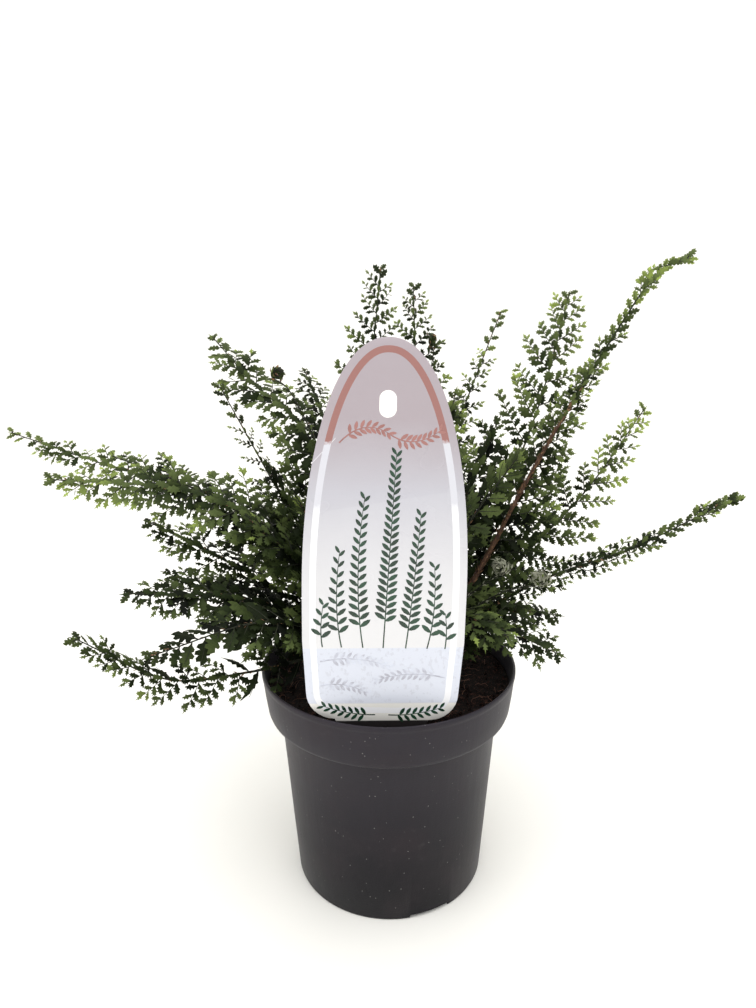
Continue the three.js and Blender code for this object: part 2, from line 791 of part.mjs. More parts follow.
const MATERIALS = {
  pot: new THREE.MeshStandardMaterial({ color: 0x2c2a2e, roughness: 0.5, metalness: 0 }),
  soil: new THREE.MeshStandardMaterial({ color: 0x1f1512, roughness: 1, metalness: 0 }),
  crown: new THREE.MeshStandardMaterial({ color: 0x4a3222, roughness: 0.95, metalness: 0 }),
  label: new THREE.MeshStandardMaterial({ color: 0xe4dfe6, roughness: 0.25, metalness: 0 }),
  frond: new THREE.MeshStandardMaterial({ color: 0x2f4a24, roughness: 0.6, metalness: 0 }),
};

function named(name, solid, material) {
  const mesh = new THREE.Mesh(geometryFromSolid(solid), material);
  mesh.name = name;
  return mesh;
}

function makePlant() {
  const stalks = FRONDS.map(stalkOf);
  const pot = makePot();
  const soil = makeSoil();
  const crown = makeCrown(stalks);
  const label = makeLabel();
  const standing = new Standing();
  [pot, soil, crown, label].forEach((solid) => standing.add(solid, ''));
  const rows = stalks.map((stalk) => {
    const row = stationsOf(stalk);
    standing.add(stalkShell(row.stations, new Map()).solid(), stalk.frond.name);
    return row;
  });
  const plant = new THREE.Group();
  plant.add(named('pot', pot, MATERIALS.pot));
  plant.add(named('soil', soil, MATERIALS.soil));
  plant.add(named('crown', crown, MATERIALS.crown));
  plant.add(named('label', label, MATERIALS.label));
  stalks.forEach((stalk, i) => {
    const leaflets = leafletsOf(stalk, rows[i], standing);
    const solid = stalkShell(rows[i].stations, leaflets).solid();
    plant.add(named(stalk.frond.name, solid, MATERIALS.frond));
  });
  return plant;
}

export default makePlant();
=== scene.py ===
"""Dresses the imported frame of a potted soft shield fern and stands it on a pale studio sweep."""

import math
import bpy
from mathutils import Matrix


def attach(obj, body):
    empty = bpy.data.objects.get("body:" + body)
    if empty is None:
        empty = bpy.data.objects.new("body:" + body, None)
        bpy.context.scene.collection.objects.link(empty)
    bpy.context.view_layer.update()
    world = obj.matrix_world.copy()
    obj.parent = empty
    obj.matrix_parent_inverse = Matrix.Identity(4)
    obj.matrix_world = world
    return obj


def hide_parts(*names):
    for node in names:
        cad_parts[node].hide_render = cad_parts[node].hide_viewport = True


bl_info = {
    "name": "Potted Soft Shield Fern",
    "version": (1, 0, 0),
    "blender": (4, 5, 0),
    "location": "View3D > Sidebar > Fern",
    "description": "Builds the pot, peat, crown, plant label and fronds of a potted fern",
    "category": "Add Mesh",
}

from contextlib import contextmanager
from types import SimpleNamespace

import bpy
import numpy as np
from bpy.props import FloatProperty, FloatVectorProperty, IntProperty, PointerProperty
from mathutils import Matrix, Vector, noise

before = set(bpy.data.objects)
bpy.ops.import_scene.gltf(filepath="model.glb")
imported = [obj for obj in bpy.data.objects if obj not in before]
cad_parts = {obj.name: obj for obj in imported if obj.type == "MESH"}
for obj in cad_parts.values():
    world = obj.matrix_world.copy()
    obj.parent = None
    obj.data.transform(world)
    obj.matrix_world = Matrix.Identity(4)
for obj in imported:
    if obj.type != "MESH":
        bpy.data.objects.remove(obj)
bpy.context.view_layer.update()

MM = 0.001

# Pot, in millimetres: radius and height along its outside, over the lip and down its inside
POT_OUTSIDE = [
    (49.1, 0.3), (49.5, 1.2), (51.7, 31), (53.8, 61), (55.9, 90), (56.5, 91.6), (58.2, 92.9),
    (60.6, 93.9), (62.0, 94.9), (62.6, 96.6), (63.6, 104), (64.6, 113.4), (64.7, 114.4),
    (65.0, 114.9), (65.0, 116.4), (64.8, 116.85), (64.5, 117),
]
POT_INSIDE = [
    (64.0, 117), (63.75, 116.8), (63.6, 116.2), (62.4, 106), (61.2, 97.2), (60.6, 96.2),
    (55.6, 93.2), (54.8, 92), (48.2, 3.9), (47.6, 3.4),
]
POT_FOOT_RADIUS = 48.6
POT_HEADINGS = (53.5, 173.5, 293.5)
NOTCH = {"from": 33, "to": 52, "width": 21.5, "height": 2.2}
NOTCH_ROUNDING = 0.7
DRAIN_RADIUS = 4
DRAIN_AT = 38

# Peat and crown
PEAT_TOP = 108
PEAT_REACH = 60
PEAT_SIDE = [(47.6, 3.8), (54.2, 92), (60.4, 97), (62.1, 107.4), (61.9, 108)]
CROWN_RADIUS = 20
CROWN_HEIGHT = 9
CROWN_DEPTH = 7.5
CROWN_SCALES = 420
RIM_RADIUS = 65
RIM_HEIGHT = 117

# Label: its place, then its outline in its own plane, across and up from its datum
LABEL_PLACE = (-4.1, -50, 105)
LABEL_LEAN = 0.8
LABEL_TILT = 1.5
LABEL_THICK = 0.8
LABEL_HALF_WIDTH = 36
LABEL_SHOULDER = 66
LABEL_TOP = 178.3
LABEL_ROUNDNESS = 2.15
LABEL_STRAIGHT_FROM = 46
LABEL_FOOT_HALF_WIDTH = 34.4
LABEL_FOOT = 7.6
LABEL_CORNER = 13
STAKE_HALF_WIDTH = 21.4
STAKE_TIP_HALF_WIDTH = 1.5
STAKE_END = -40
HANG_HOLE_AT = 151.4
HANG_HOLE_SIZE = (7.2, 11.4)

# Stalks, pinnae and croziers, in millimetres, degrees and shares of a length
SEAT_RADII = {"outer": 12.5, "middle": 8.3, "inner": 4}
SEAT_HEIGHT = -4
SEAT_LENGTH = 16
RISE = (45, 80)
RISE_ABOVE_SLOPE = 8
DROOP = 6
FORWARD = (72, 44)
WHOLE_PINNA = 6.5
CLASPED_BY = 12
CLASPED_LENGTH = 0.4
CLASPED_TIPS = {"from": 0.86, "length": 1.8}
SHORTEST_PINNA = 5
SHORTEST_LEFT = 3
PINNA_ARCH = 0.11
PINNA_WOBBLE = {"forward": 6, "tilt": 9}
PINNA_CHANGE = (0.8, 1.06)
PINNA_POINTS = 24
PER_GAP = 2.3
BARE_SHARE = 0.6
CROWDING = 1.4
RIB_RADII = {"long": 0.36, "short": 0.27, "tip": 0.09}
LONG_RIB = 15
RED_THICKNESS = 1.9
RED_SCALES = 7
STALK_THIN = 0.24
COIL_RADIUS = (3.0, 0.3)
COIL_TURN = 560
COIL_STEPS = 48
COIL_THICKNESS = (0.8, 1.1)
COIL_LEAFLET = (1.8, 2.9)
COIL_SCALE = (1.6, 3.0)
COIL_AGE = 0.42
STALK_SCALE = (1.6, 3.6)

# Leaflets, in millimetres and degrees, from the first to the last of a pinna
LEAFLET_ANGLES = (62, 40)
LEAFLET_WOBBLE = 9
LEAFLET_TILT = 0.28
LEAFLET_SIZE = {"least": 4, "most": 8, "per_length": 0.15}
LEAFLET_TAPER = 0.6
LEAFLET_CHANGE = (0.8, 1.15)
BROAD_SHARE = 0.6
FIRST_IN_PAIR = 0.4
SECOND_IN_PAIR = 0.75
BESIDE_RED_BELOW = 12
SINGLE_LEAFLET = {"least": 4.2, "factor": 1.08, "tilt": 0.25}
TIP_LEAFLET = {"least": 3.6, "factor": 0.72, "frond": 5.5}
# Leaflets further out along a pinna are made lighter: younger tissue, and painted light on the
# outer leaves.
LIGHTER_OUTWARD = 0.4

# How far leaves keep from the label's back and sides, the peat, and the rim's top and outside
CLEAR = {"label": 1.6, "beside": 1, "peat": 1.6, "rim": 1.2, "outside": 3}

# Seen from here, no pinna stands in front of the red stalk between two shares of its length,
# within an angle of it, or behind the label's hole: from this y on, and in x and z a middle
# and half a width, each with its change per millimetre
VIEWPOINT = np.array([-4.65, -359.57, 299.28])
BARED = (0.2, 0.52)
SIGHT = 0.0058
HOLE_SIGHT = {"from": 48, 0: ((0, 0.0144), (5.4, 0.017)), 2: ((256.3, -0.138), (7.2, 0.023))}

# Camera
PITCH = 0.26742
ROLL = -0.00899
LENS = 27.21


# What may be said of a frond. glow: how light its leaves are, partly painted light and shade.
# roll: its turn about its stalk.
# leaf, gap, spread: the leaflets' size, the pinnae's distance and their length, as factors.
# even: 0 for pinnae that taper to the tip, 1 for nearly equal ones. clasp: from where along
# it the pinnae are folded in. whole, share, shape: pinnae shorter than whole become one leaf,
# this share of them, of this outline. red, coiled and pale: its stalk, its tip and its scales.
PLAIN = {"roll": 0, "leaf": 1, "gap": 1, "spread": 1, "even": 0, "clasp": 2,
         "whole": WHOLE_PINNA, "share": 1, "shape": "lobed", "red": False, "coiled": False,
         "pale": False}


def frond(name, heading, ring, seat, way, pinna, bare, **looks):
    """A frond's course: way holds its reach, its height over the peat and its turn aside."""
    return SimpleNamespace(name=name, heading=heading, ring=ring, seat=seat, way=way,
                           pinna=pinna, bare=bare, **{**PLAIN, **looks})


FRONDS = [
    frond("frond_left_long", 190, "middle", 197,
          [(40, 66), (88, 102), (154, 113)], 40, 0.24, glow=0.68, roll=40, leaf=1.05, even=0.4,
          spread=0.72, gap=1.2),
    frond("frond_left_farthest", 172, "middle", 170,
          [(38, 60), (88, 94), (140, 108), (194, 125)], 38, 0.24, glow=0.62, roll=38, leaf=1.0,
          spread=0.66, gap=1.2),
    frond("frond_left_upper", 145, "inner", 150,
          [(28, 72), (52, 124), (84, 145), (115, 170)], 36, 0.2, glow=0.58, roll=26, leaf=1.2,
          even=0.85, spread=0.85, whole=16, share=0.5, gap=1.3),
    frond("frond_left_rising", 160, "middle", 145,
          [(32, 52), (59, 94), (90, 147)], 36, 0.24, glow=0.45, roll=20, leaf=0.55, gap=1.1,
          spread=0.5),
    frond("crozier_left", 172, "inner", 205,
          [(20, 60), (31, 112), (46, 146), (54, 153)], 24, 0.35, glow=0.4, coiled=True),
    frond("frond_left_mid", 186, "outer", 156,
          [(34, 34), (72, 62), (114, 88)], 34, 0.28, glow=0.42, roll=30, spread=0.85),
    frond("frond_left_low", 205, "outer", 192,
          [(36, 34), (76, 57), (124, 68)], 26, 0.3, glow=0.25, roll=30, leaf=1.1, even=0.2),
    frond("frond_left_inner", 178, "outer", 174,
          [(34, 20), (70, 36), (111, 56)], 32, 0.3, glow=0.35, roll=28, leaf=1.15, spread=0.85,
          even=0.2),
    frond("frond_left_lowest", 208, "outer", 210,
          [(34, 20), (74, 21), (112, 27), (148, 55)], 30, 0.3, glow=0.46, roll=42, leaf=0.9,
          even=0.8, spread=0.6, whole=18, gap=0.9, shape="feather", share=0.4),
    frond("frond_left_front", 223, "outer", 228,
          [(38, 34), (76, 54), (129, 56)], 32, 0.3, glow=0.25, roll=34, leaf=1.0, whole=14,
          even=0.5, spread=0.6, gap=0.8),
    frond("frond_left_upright", 215, "middle", 226,
          [(18, 34), (34, 72), (50, 104)], 26, 0.25, glow=0.3, roll=10, leaf=1.25),
    frond("frond_right_tall", 8, "middle", 8,
          [(43, 48), (76, 112), (114, 177), (131, 201), (145, 207)], 30, 0.2, glow=0.66,
          roll=-45, leaf=0.9, red=True, clasp=0.42, gap=0.62, even=0.25),
    frond("frond_right_bright", 38, "middle", 34,
          [(40, 36), (80, 81), (108, 128), (131, 192)], 40, 0.22, glow=0.62, roll=-40, leaf=0.85,
          gap=1.6, spread=1.1, even=0.3),
    frond("frond_right_slender", 48, "middle", 58,
          [(26, 60), (52, 116), (95, 182)], 24, 0.3, glow=0.68, roll=-20, leaf=0.8, gap=1.1,
          spread=0.65),
    frond("crozier_right", 58, "inner", 12,
          [(16, 60), (31, 116), (43, 152), (48, 168)], 18, 0.4, glow=0.4, coiled=True),
    frond("frond_right_light", 20, "outer", 26,
          [(42, 28), (87, 64), (118, 92), (149, 131)], 34, 0.24, glow=0.7, roll=-40, leaf=0.85,
          gap=1.35, spread=0.85, even=0.15),
    frond("frond_right_low", -8, "outer", 352,
          [(38, 30), (75, 56), (118, 75), (160, 100)], 30, 0.24, glow=0.46, roll=-38, leaf=0.85,
          gap=0.58, clasp=0.1, even=0.2),
    frond("frond_right_front", -25, "outer", 335,
          [(30, 30), (55, 38), (86, 30)], 26, 0.3, glow=0.32, roll=-34, leaf=1.1, spread=0.8,
          even=0.5, whole=9, share=0.5),
    frond("frond_right_short", 2, "outer", 8,
          [(30, 17), (58, 34), (86, 32)], 24, 0.35, glow=0.3, roll=-30, leaf=1.15, spread=0.8,
          even=0.5, whole=9, share=0.5),
    frond("frond_front_right", -45, "outer", 315,
          [(26, 34), (48, 48), (74, 46)], 24, 0.3, glow=0.45, roll=-20, leaf=1.25),
    frond("frond_right_upright", 322, "middle", 318,
          [(18, 34), (34, 74), (46, 106)], 26, 0.25, glow=0.4, leaf=1.2, spread=0.8),
    frond("frond_back_tallest", 93, "inner", 105,
          [(17, 68, 18), (32, 138, 12), (45, 204)], 30, 0.3, glow=0.4, leaf=0.72, spread=1.1,
          gap=1.2, even=0.4),
    frond("frond_back_tall", 75, "inner", 58,
          [(18, 66, -8), (38, 134, -8), (58, 196)], 30, 0.3, glow=0.45, leaf=0.72, spread=1.1,
          gap=1.2, even=0.4),
    frond("frond_back_left", 118, "middle", 120,
          [(30, 60), (62, 112), (100, 150)], 34, 0.22, glow=0.4),
    frond("frond_back_right", 66, "middle", 84,
          [(34, 58), (72, 104), (112, 132)], 34, 0.22, glow=0.4),
    frond("frond_back_low", 100, "outer", 100,
          [(40, 46), (86, 78), (136, 84)], 34, 0.26, glow=0.4),
    frond("frond_back_low_left", 135, "outer", 136,
          [(40, 40), (84, 66), (130, 72)], 34, 0.26, glow=0.4),
    frond("frond_back_low_right", 50, "outer", 52,
          [(42, 36), (88, 58), (134, 62)], 32, 0.26, glow=0.4),
]

# Inner fronds have a low glow: painted shade inside the plant.
INNER_FRONDS = [
    frond("inner_left", 176, "inner", 190, [(22, 40), (42, 80), (58, 112)], 30, 0.2,
          glow=0.25, roll=25, leaf=1.2, gap=1.3),
    frond("inner_left_low", 200, "middle", 214, [(24, 36), (46, 70), (68, 92)], 30, 0.2,
          glow=0.3, roll=25, leaf=1.2, gap=1.3),
    frond("inner_left_far", 150, "inner", 130, [(24, 48), (44, 84), (58, 108)], 28, 0.2,
          glow=0.25, roll=25, leaf=1.0, gap=1.3),
    frond("inner_right", 22, "inner", 20, [(22, 40), (42, 86), (60, 128)], 30, 0.2,
          glow=0.3, roll=-25, leaf=1.3, gap=1.3),
    frond("inner_right_low", 12, "middle", 350, [(24, 30), (46, 54), (68, 70)], 30, 0.2,
          glow=0.3, roll=-25, leaf=1.2, gap=1.3),
    frond("inner_right_far", 46, "inner", 60, [(20, 52), (38, 100), (52, 142)], 26, 0.2,
          glow=0.55, roll=-25, leaf=1.05, gap=1.3),
    frond("inner_right_leafy", -10, "inner", 345, [(22, 48), (42, 88), (62, 118)], 22, 0.7,
          glow=0.6, roll=-42, leaf=1.1, even=0.9, whole=16, gap=0.8),
    frond("young_crozier", -12, "middle", 346, [(30, 30), (56, 50), (75, 56)], 11, 0.2,
          glow=0.2, coiled=True, pale=True),
    frond("young_crozier_left", -17, "middle", 335, [(24, 30), (44, 52), (58, 63)], 11, 0.2,
          glow=0.2, coiled=True, pale=True),
    frond("thin_frond", 176, "middle", 160, [(34, 52), (72, 86), (103, 103), (136, 116)], 16, 0.5,
          glow=0.6, roll=38, leaf=0.8, gap=1.2),
]

# Leaflet outlines of unit length, from the stalk round the straight lower edge to the toothed one
LOBED_LEAFLET = [
    (0.00, -0.02), (0.16, -0.05), (0.27, -0.17), (0.38, -0.17), (0.42, -0.09), (0.53, -0.24),
    (0.66, -0.21), (0.68, -0.10), (0.84, -0.17), (0.96, -0.07), (1.04, 0.06), (0.87, 0.10),
    (0.88, 0.24), (0.75, 0.28), (0.66, 0.14), (0.63, 0.34), (0.50, 0.33), (0.44, 0.14),
    (0.37, 0.31), (0.25, 0.25), (0.22, 0.10), (0.12, 0.04), (0.00, 0.02),
]
BROAD_LEAFLET = [
    (0.00, -0.06), (0.20, -0.12), (0.44, -0.15), (0.60, -0.29), (0.71, -0.14), (0.91, -0.20),
    (0.94, -0.05), (1.12, 0.02), (0.92, 0.10), (0.97, 0.29), (0.78, 0.22), (0.70, 0.44),
    (0.56, 0.24), (0.41, 0.45), (0.31, 0.22), (0.16, 0.22), (0.00, 0.07),
]
NARROW_LEAFLET = [
    (0.00, -0.05), (0.30, -0.10), (0.55, -0.12), (0.73, -0.25), (0.82, -0.09), (1.01, -0.08),
    (1.12, 0.02), (0.92, 0.08), (0.93, 0.27), (0.74, 0.18), (0.58, 0.38), (0.47, 0.16),
    (0.31, 0.29), (0.21, 0.12), (0.00, 0.06),
]
POINTED_LEAFLET = [
    (0.00, -0.03), (0.22, -0.09), (0.36, -0.25), (0.46, -0.09), (0.66, -0.20), (0.70, -0.06),
    (1.10, 0.00), (0.72, 0.07), (0.70, 0.24), (0.50, 0.10), (0.42, 0.31), (0.25, 0.10),
    (0.00, 0.03),
]
FEATHER_LEAFLET = [
    (0.00, -0.02), (0.16, -0.05), (0.34, -0.08), (0.41, -0.14), (0.47, -0.08), (0.60, -0.12),
    (0.65, -0.06), (0.80, -0.08), (1.10, 0.02), (0.84, 0.06), (0.77, 0.13), (0.70, 0.07),
    (0.57, 0.18), (0.50, 0.09), (0.37, 0.20), (0.30, 0.08), (0.18, 0.12), (0.10, 0.03),
    (0.00, 0.02),
]
SCALE_OUTLINE = [(0.0, 0.0), (0.35, -0.16), (1.0, 0.0), (0.35, 0.16)]
OVAL_LEAF = [(0.0, 0.0), (0.2, -0.13), (0.5, -0.19), (0.8, -0.13), (1.0, 0.0),
             (0.8, 0.13), (0.5, 0.19), (0.2, 0.13)]

# Printed sprigs on the label: where each starts, bends and ends, and its pairs of leaves
TALL_SPRIGS = [
    ((0, 43), (2, 86), (4, 131), 24), ((-9, 43), (-14, 74), (-9, 112), 16),
    ((10, 43), (13, 70), (15, 105), 16), ((-18.5, 43), (-22.5, 62), (-19.5, 88), 9),
    ((19.5, 43), (23.5, 60), (21.5, 82), 8), ((-27, 43), (-28.5, 52), (-26.5, 64), 4),
    ((27.5, 43), (28.5, 51), (27, 60), 3),
]
FOOT_ROW = [((-3, 10), (-14, 9.5), (-27, 14), 7), ((3, 10), (14, 9.5), (27, 14), 7)]
PALE_ROW = [((-28, 36), (-12, 40), (3, 34), 10), ((28, 29), (12, 33), (-3, 27), 10),
            ((-28, 24), (-18, 27), (-7, 21), 7)]
GARLAND = [((-20, 135), (-10, 146), (1, 139), 8), ((1, 139), (11, 132), (22, 141), 8)]


# Numbers


def mix(a, b, share):
    """The value that share of the way from a to b has."""
    return a + (b - a) * share


def polar(radius, heading, height):
    """A point by its reach, its heading in degrees and its height."""
    angle = math.radians(heading)
    return np.array([radius * math.cos(angle), radius * math.sin(angle), height], float)


def unit(vector):
    """The vector at length 1."""
    return vector / np.linalg.norm(vector)


def square(vector, *axes):
    """The vector made square to each of these axes in turn, at length 1."""
    for axis in axes:
        vector = unit(vector - axis * (vector @ axis))
    return vector


def turned(a, b, angle):
    """The way that stands an angle round from a towards b, which are square."""
    return math.cos(angle) * a + math.sin(angle) * b


# Blender


def only(*things):
    """Selects these objects and nothing else, and makes the first the active one."""
    if bpy.context.object and bpy.context.object.mode != "OBJECT":
        bpy.ops.object.mode_set(mode="OBJECT")
    bpy.ops.object.select_all(action="DESELECT")
    for thing in things:
        thing.select_set(True)
    bpy.context.view_layer.objects.active = things[0]


def nothing_selected():
    """Leaves no object selected, so that the next primitive stands alone."""
    bpy.ops.object.select_all(action="DESELECT")


def named(thing, name):
    """Gives an object and its data one name."""
    thing.name = name
    thing.data.name = name
    return thing


@contextmanager
def editing():
    """Edit mode on the active object, with the whole of it selected."""
    bpy.ops.object.mode_set(mode="EDIT")
    bpy.ops.mesh.select_all(action="SELECT")
    yield
    bpy.ops.object.mode_set(mode="OBJECT")


def drawn_out(thing, wanted, step, narrow=1):
    """Draws the edges between wanted vertices out by a step, and narrows their ends."""
    only(thing)
    mesh = thing.data
    for part in (mesh.vertices, mesh.edges, mesh.polygons):
        part.foreach_set("select", [False] * len(part))
    for vertex in mesh.vertices:
        vertex.select = wanted(vertex.co)
    for edge in mesh.edges:
        edge.select = all(mesh.vertices[i].select for i in edge.vertices)
    bpy.ops.object.mode_set(mode="EDIT")
    bpy.ops.mesh.select_mode(type="EDGE")
    bpy.ops.mesh.extrude_edges_move(TRANSFORM_OT_translate={"value": step})
    bpy.ops.transform.resize(value=(narrow, 1, 1), center_override=(0, 0, 0))
    bpy.ops.object.mode_set(mode="OBJECT")


def mesh_object(name, points, faces):
    """An object of points in millimetres and of faces."""
    mesh = bpy.data.meshes.new(name)
    mesh.from_pydata((points * MM).tolist(), [], faces.tolist())
    thing = bpy.data.objects.new(name, mesh)
    bpy.context.scene.collection.objects.link(thing)
    return thing


def shape_of(thing):
    """An object's points and faces, as arrays, after which it is removed."""
    points = np.array([v.co for v in thing.data.vertices])
    faces = np.array([list(face.vertices) for face in thing.data.polygons])
    bpy.data.objects.remove(thing)
    return points, faces


def modify(thing, kind, **settings):
    """Adds a modifier to an object and applies it."""
    only(thing)
    bpy.ops.object.modifier_add(type=kind)
    modifier = thing.modifiers[-1]
    for key, value in settings.items():
        setattr(modifier, key, value)
    bpy.ops.object.modifier_apply(modifier=modifier.name)


def cut(thing, cutter):
    """Takes the cutter's shape out of an object, and removes the cutter."""
    modify(thing, "BOOLEAN", operation="DIFFERENCE", solver="EXACT", object=cutter)
    bpy.data.objects.remove(cutter)


def joined(name, *things):
    """Makes one piece of several objects."""
    only(*things)
    if len(things) > 1:
        bpy.ops.object.join()
    return named(bpy.context.object, name)


def smooth(thing, angle):
    """Shades an object smooth, apart from the edges that are sharper than angle."""
    only(thing)
    bpy.ops.object.shade_smooth_by_angle(angle=math.radians(angle))


def finished(thing, slot, *nodes):
    """Puts a piece on the frame in place of the nodes that it stands for."""
    only(thing)
    bpy.ops.object.transform_apply(location=True, rotation=True, scale=True)
    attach(thing, "root")
    if nodes:
        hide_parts(*nodes)
    nothing_selected()


def turned_up(name, course, sides):
    """A closed round body, drawn up from a disc along a course of radii and heights."""
    nothing_selected()
    radius, height = course[0]
    bpy.ops.mesh.primitive_circle_add(
        vertices=sides, radius=radius * MM, fill_type="NGON", location=(0, 0, height * MM))
    body = named(bpy.context.object, name)
    bpy.ops.object.transform_apply(location=True)
    with editing():
        for (r0, z0), (r1, z1) in zip(course, course[1:]):
            bpy.ops.mesh.extrude_region_move(
                TRANSFORM_OT_translate={"value": (0, 0, (z1 - z0) * MM)})
            bpy.ops.transform.resize(
                value=(r1 / r0, r1 / r0, 1), center_override=(0, 0, z1 * MM))
        bpy.ops.mesh.select_all(action="SELECT")
        bpy.ops.mesh.normals_make_consistent(inside=False)
    return body


def tubes(name, lines, roundness):
    """Tapering rods with closed ends, as one mesh: each line holds points and their radii."""
    nothing_selected()
    bpy.ops.curve.primitive_nurbs_path_add()
    rods = bpy.context.object
    rods.data.splines.clear()
    for line in lines:
        spline = rods.data.splines.new("POLY")
        spline.points.add(len(line) - 1)
        for point, (place, radius) in zip(spline.points, line):
            point.co = (*(place * MM), 1)
            point.radius = radius * MM
    rods.data.bevel_depth = 1
    rods.data.bevel_resolution = roundness
    rods.data.use_fill_caps = True
    bpy.ops.object.convert(target="MESH")
    return named(bpy.context.object, name)


# Leaves are modelled once and copied


class Model:
    """A small closed form, as the arrays that its copies are made from."""

    def __init__(self, outline, rise, sag, cup, bend=0):
        nothing_selected()
        bpy.ops.mesh.primitive_circle_add(vertices=len(outline), radius=1, fill_type="TRIFAN")
        leaf = bpy.context.object
        ring = [v for v in leaf.data.vertices if v.co.length > 0.5]
        middle = next(v for v in leaf.data.vertices if v.co.length <= 0.5)
        ring.sort(key=lambda v: math.atan2(v.co.y, v.co.x))
        for vertex, (x, y) in zip(ring, outline):
            vertex.co = (x, y, 0)
        middle.co = (0.5, 0.5 * (min(y for _, y in outline) + max(y for _, y in outline)), rise)
        with editing():
            bpy.ops.mesh.duplicate()
            bpy.ops.transform.resize(value=(1, 1, -0.6), center_override=(0, 0, 0))
            bpy.ops.mesh.flip_normals()
            bpy.ops.mesh.select_all(action="SELECT")
            bpy.ops.mesh.remove_doubles(threshold=1e-5)
            bpy.ops.mesh.normals_make_consistent(inside=False)
        self.under = np.array([float(face.normal.z < 0) for face in leaf.data.polygons])
        points, self.faces = shape_of(leaf)
        self.sheet = np.stack([points[:, 0], points[:, 1] + 0.5], axis=1)
        points[:, 2] -= sag * points[:, 0] ** 2 + cup * np.abs(points[:, 1]) ** 1.5
        points[:, 1] += bend * points[:, 0] ** 2
        self.points = points


class Copies:
    """Placed copies of models, which become one mesh with their youth and painted light, and their
    tone, on it.
    """

    def __init__(self, models):
        self.models = models
        self.rows = {name: [] for name in models}

    def add(self, name, place, out, across, up, size, age=0.0, tone=0.5):
        """Places a copy with its length along out and its teeth towards across."""
        self.rows[name].append((place, (out, across, up), size, age, tone))

    def arrays(self, guard):
        """Points, faces, sheet places, youth and painted light values, and tones of all the copies.
        """
        points, faces, sheets, youth_and_light_values, tones = [], [], [], [], []
        first = 0
        for name, rows in self.rows.items():
            if not rows:
                continue
            model = self.models[name]
            places = np.array([row[0] for row in rows])
            frames = np.array([row[1] for row in rows]) * np.array(
                [row[2] for row in rows])[:, None, None]
            placed = model.points @ frames + places[:, None]
            mirrored = (np.linalg.det(frames) < 0)[:, None, None]
            each = np.where(mirrored, model.faces[:, ::-1], model.faces)
            count = len(model.points)
            starts = first + count * np.arange(len(rows))[:, None, None]
            sheet = model.sheet[each] + np.stack(
                [0 * model.under, model.under], axis=1)[None, :, None]
            points.append(guard(placed.reshape(-1, 3)))
            faces.append((each + starts).reshape(-1, 3))
            sheets.append(sheet.reshape(-1, 2))
            youth_and_light_values.append(np.repeat([row[3] for row in rows], count))
            tones.append(np.repeat([row[4] for row in rows], count))
            first += count * len(rows)
        return [np.concatenate(part) for part in (points, faces, sheets, youth_and_light_values, tones)]

    def mesh(self, name, guard=lambda points: points):
        """One object of all the copies."""
        points, faces, sheet, youth_and_light_values, tones = self.arrays(guard)
        thing = mesh_object(name, points, faces)
        thing.data.uv_layers.new(name="leaf").data.foreach_set("uv", sheet.ravel())
        for label, values in (("age", youth_and_light_values), ("tone", tones)):
            held = thing.data.attributes.new(label, "FLOAT", "POINT")
            held.data.foreach_set("value", values)
        smooth(thing, 62)
        return thing


# Stalk lines


class Stalk:
    """The middle line of a frond's stalk, and the frame in which its pinnae stand."""

    def __init__(self, course):
        self.course = course
        seat = SEAT_RADII[course.ring]
        self.root = polar(seat, course.seat, PEAT_TOP + SEAT_HEIGHT)
        reach, height = course.way[0][:2]
        slope = math.degrees(math.atan2(height - SEAT_HEIGHT, reach - seat))
        rise = math.radians(min(max(slope + RISE_ABOVE_SLOPE, RISE[0]), RISE[1]))
        start = polar(math.cos(rise), course.seat, math.sin(rise))
        knots = [self.root + SEAT_LENGTH * start]
        for step in course.way:
            aside = step[2] if len(step) > 2 else 0
            knots.append(polar(step[0], course.heading + aside, PEAT_TOP + step[1]))
        slopes = [start * np.linalg.norm(knots[1] - knots[0])]
        slopes += [(knots[i + 1] - knots[i - 1]) / 2 for i in range(1, len(knots) - 1)]
        slopes.append(knots[-1] - knots[-2])
        self.line = [knots[0]]
        for i in range(len(knots) - 1):
            for u in np.linspace(0, 1, 61)[1:]:
                v = 1 - u
                self.line.append(
                    v * v * (1 + 2 * u) * knots[i] + v * v * u * slopes[i]
                    + u * u * (1 + 2 * v) * knots[i + 1] - u * u * v * slopes[i + 1])
        self.line = np.array(self.line)
        steps = np.linalg.norm(np.diff(self.line, axis=0), axis=1)
        self.far = np.concatenate([[0], np.cumsum(steps)])
        self.length = self.far[-1]
        self.across = polar(1, course.heading + 90, 0)
        self.roll = math.radians(course.roll)

    def point(self, share):
        """The point that lies share of the stalk's length along it."""
        far = min(max(share, 0), 1) * self.length
        return np.array([np.interp(far, self.far, self.line[:, k]) for k in range(3)])

    def frame(self, share):
        """The way on, the way to its left and the way off its upper face."""
        tangent = unit(self.point(share + 0.01) - self.point(share - 0.01))
        level = square(self.across, tangent)
        side = turned(level, np.cross(tangent, level), -self.roll)
        return tangent, side, np.cross(tangent, side)


def label_half_width(up):
    """Half the label's width at heights above its datum."""
    bow = np.clip((up - LABEL_SHOULDER) / (LABEL_TOP - LABEL_SHOULDER), 0, 1)
    return LABEL_HALF_WIDTH * (1 - bow ** LABEL_ROUNDNESS) ** (1 / LABEL_ROUNDNESS)


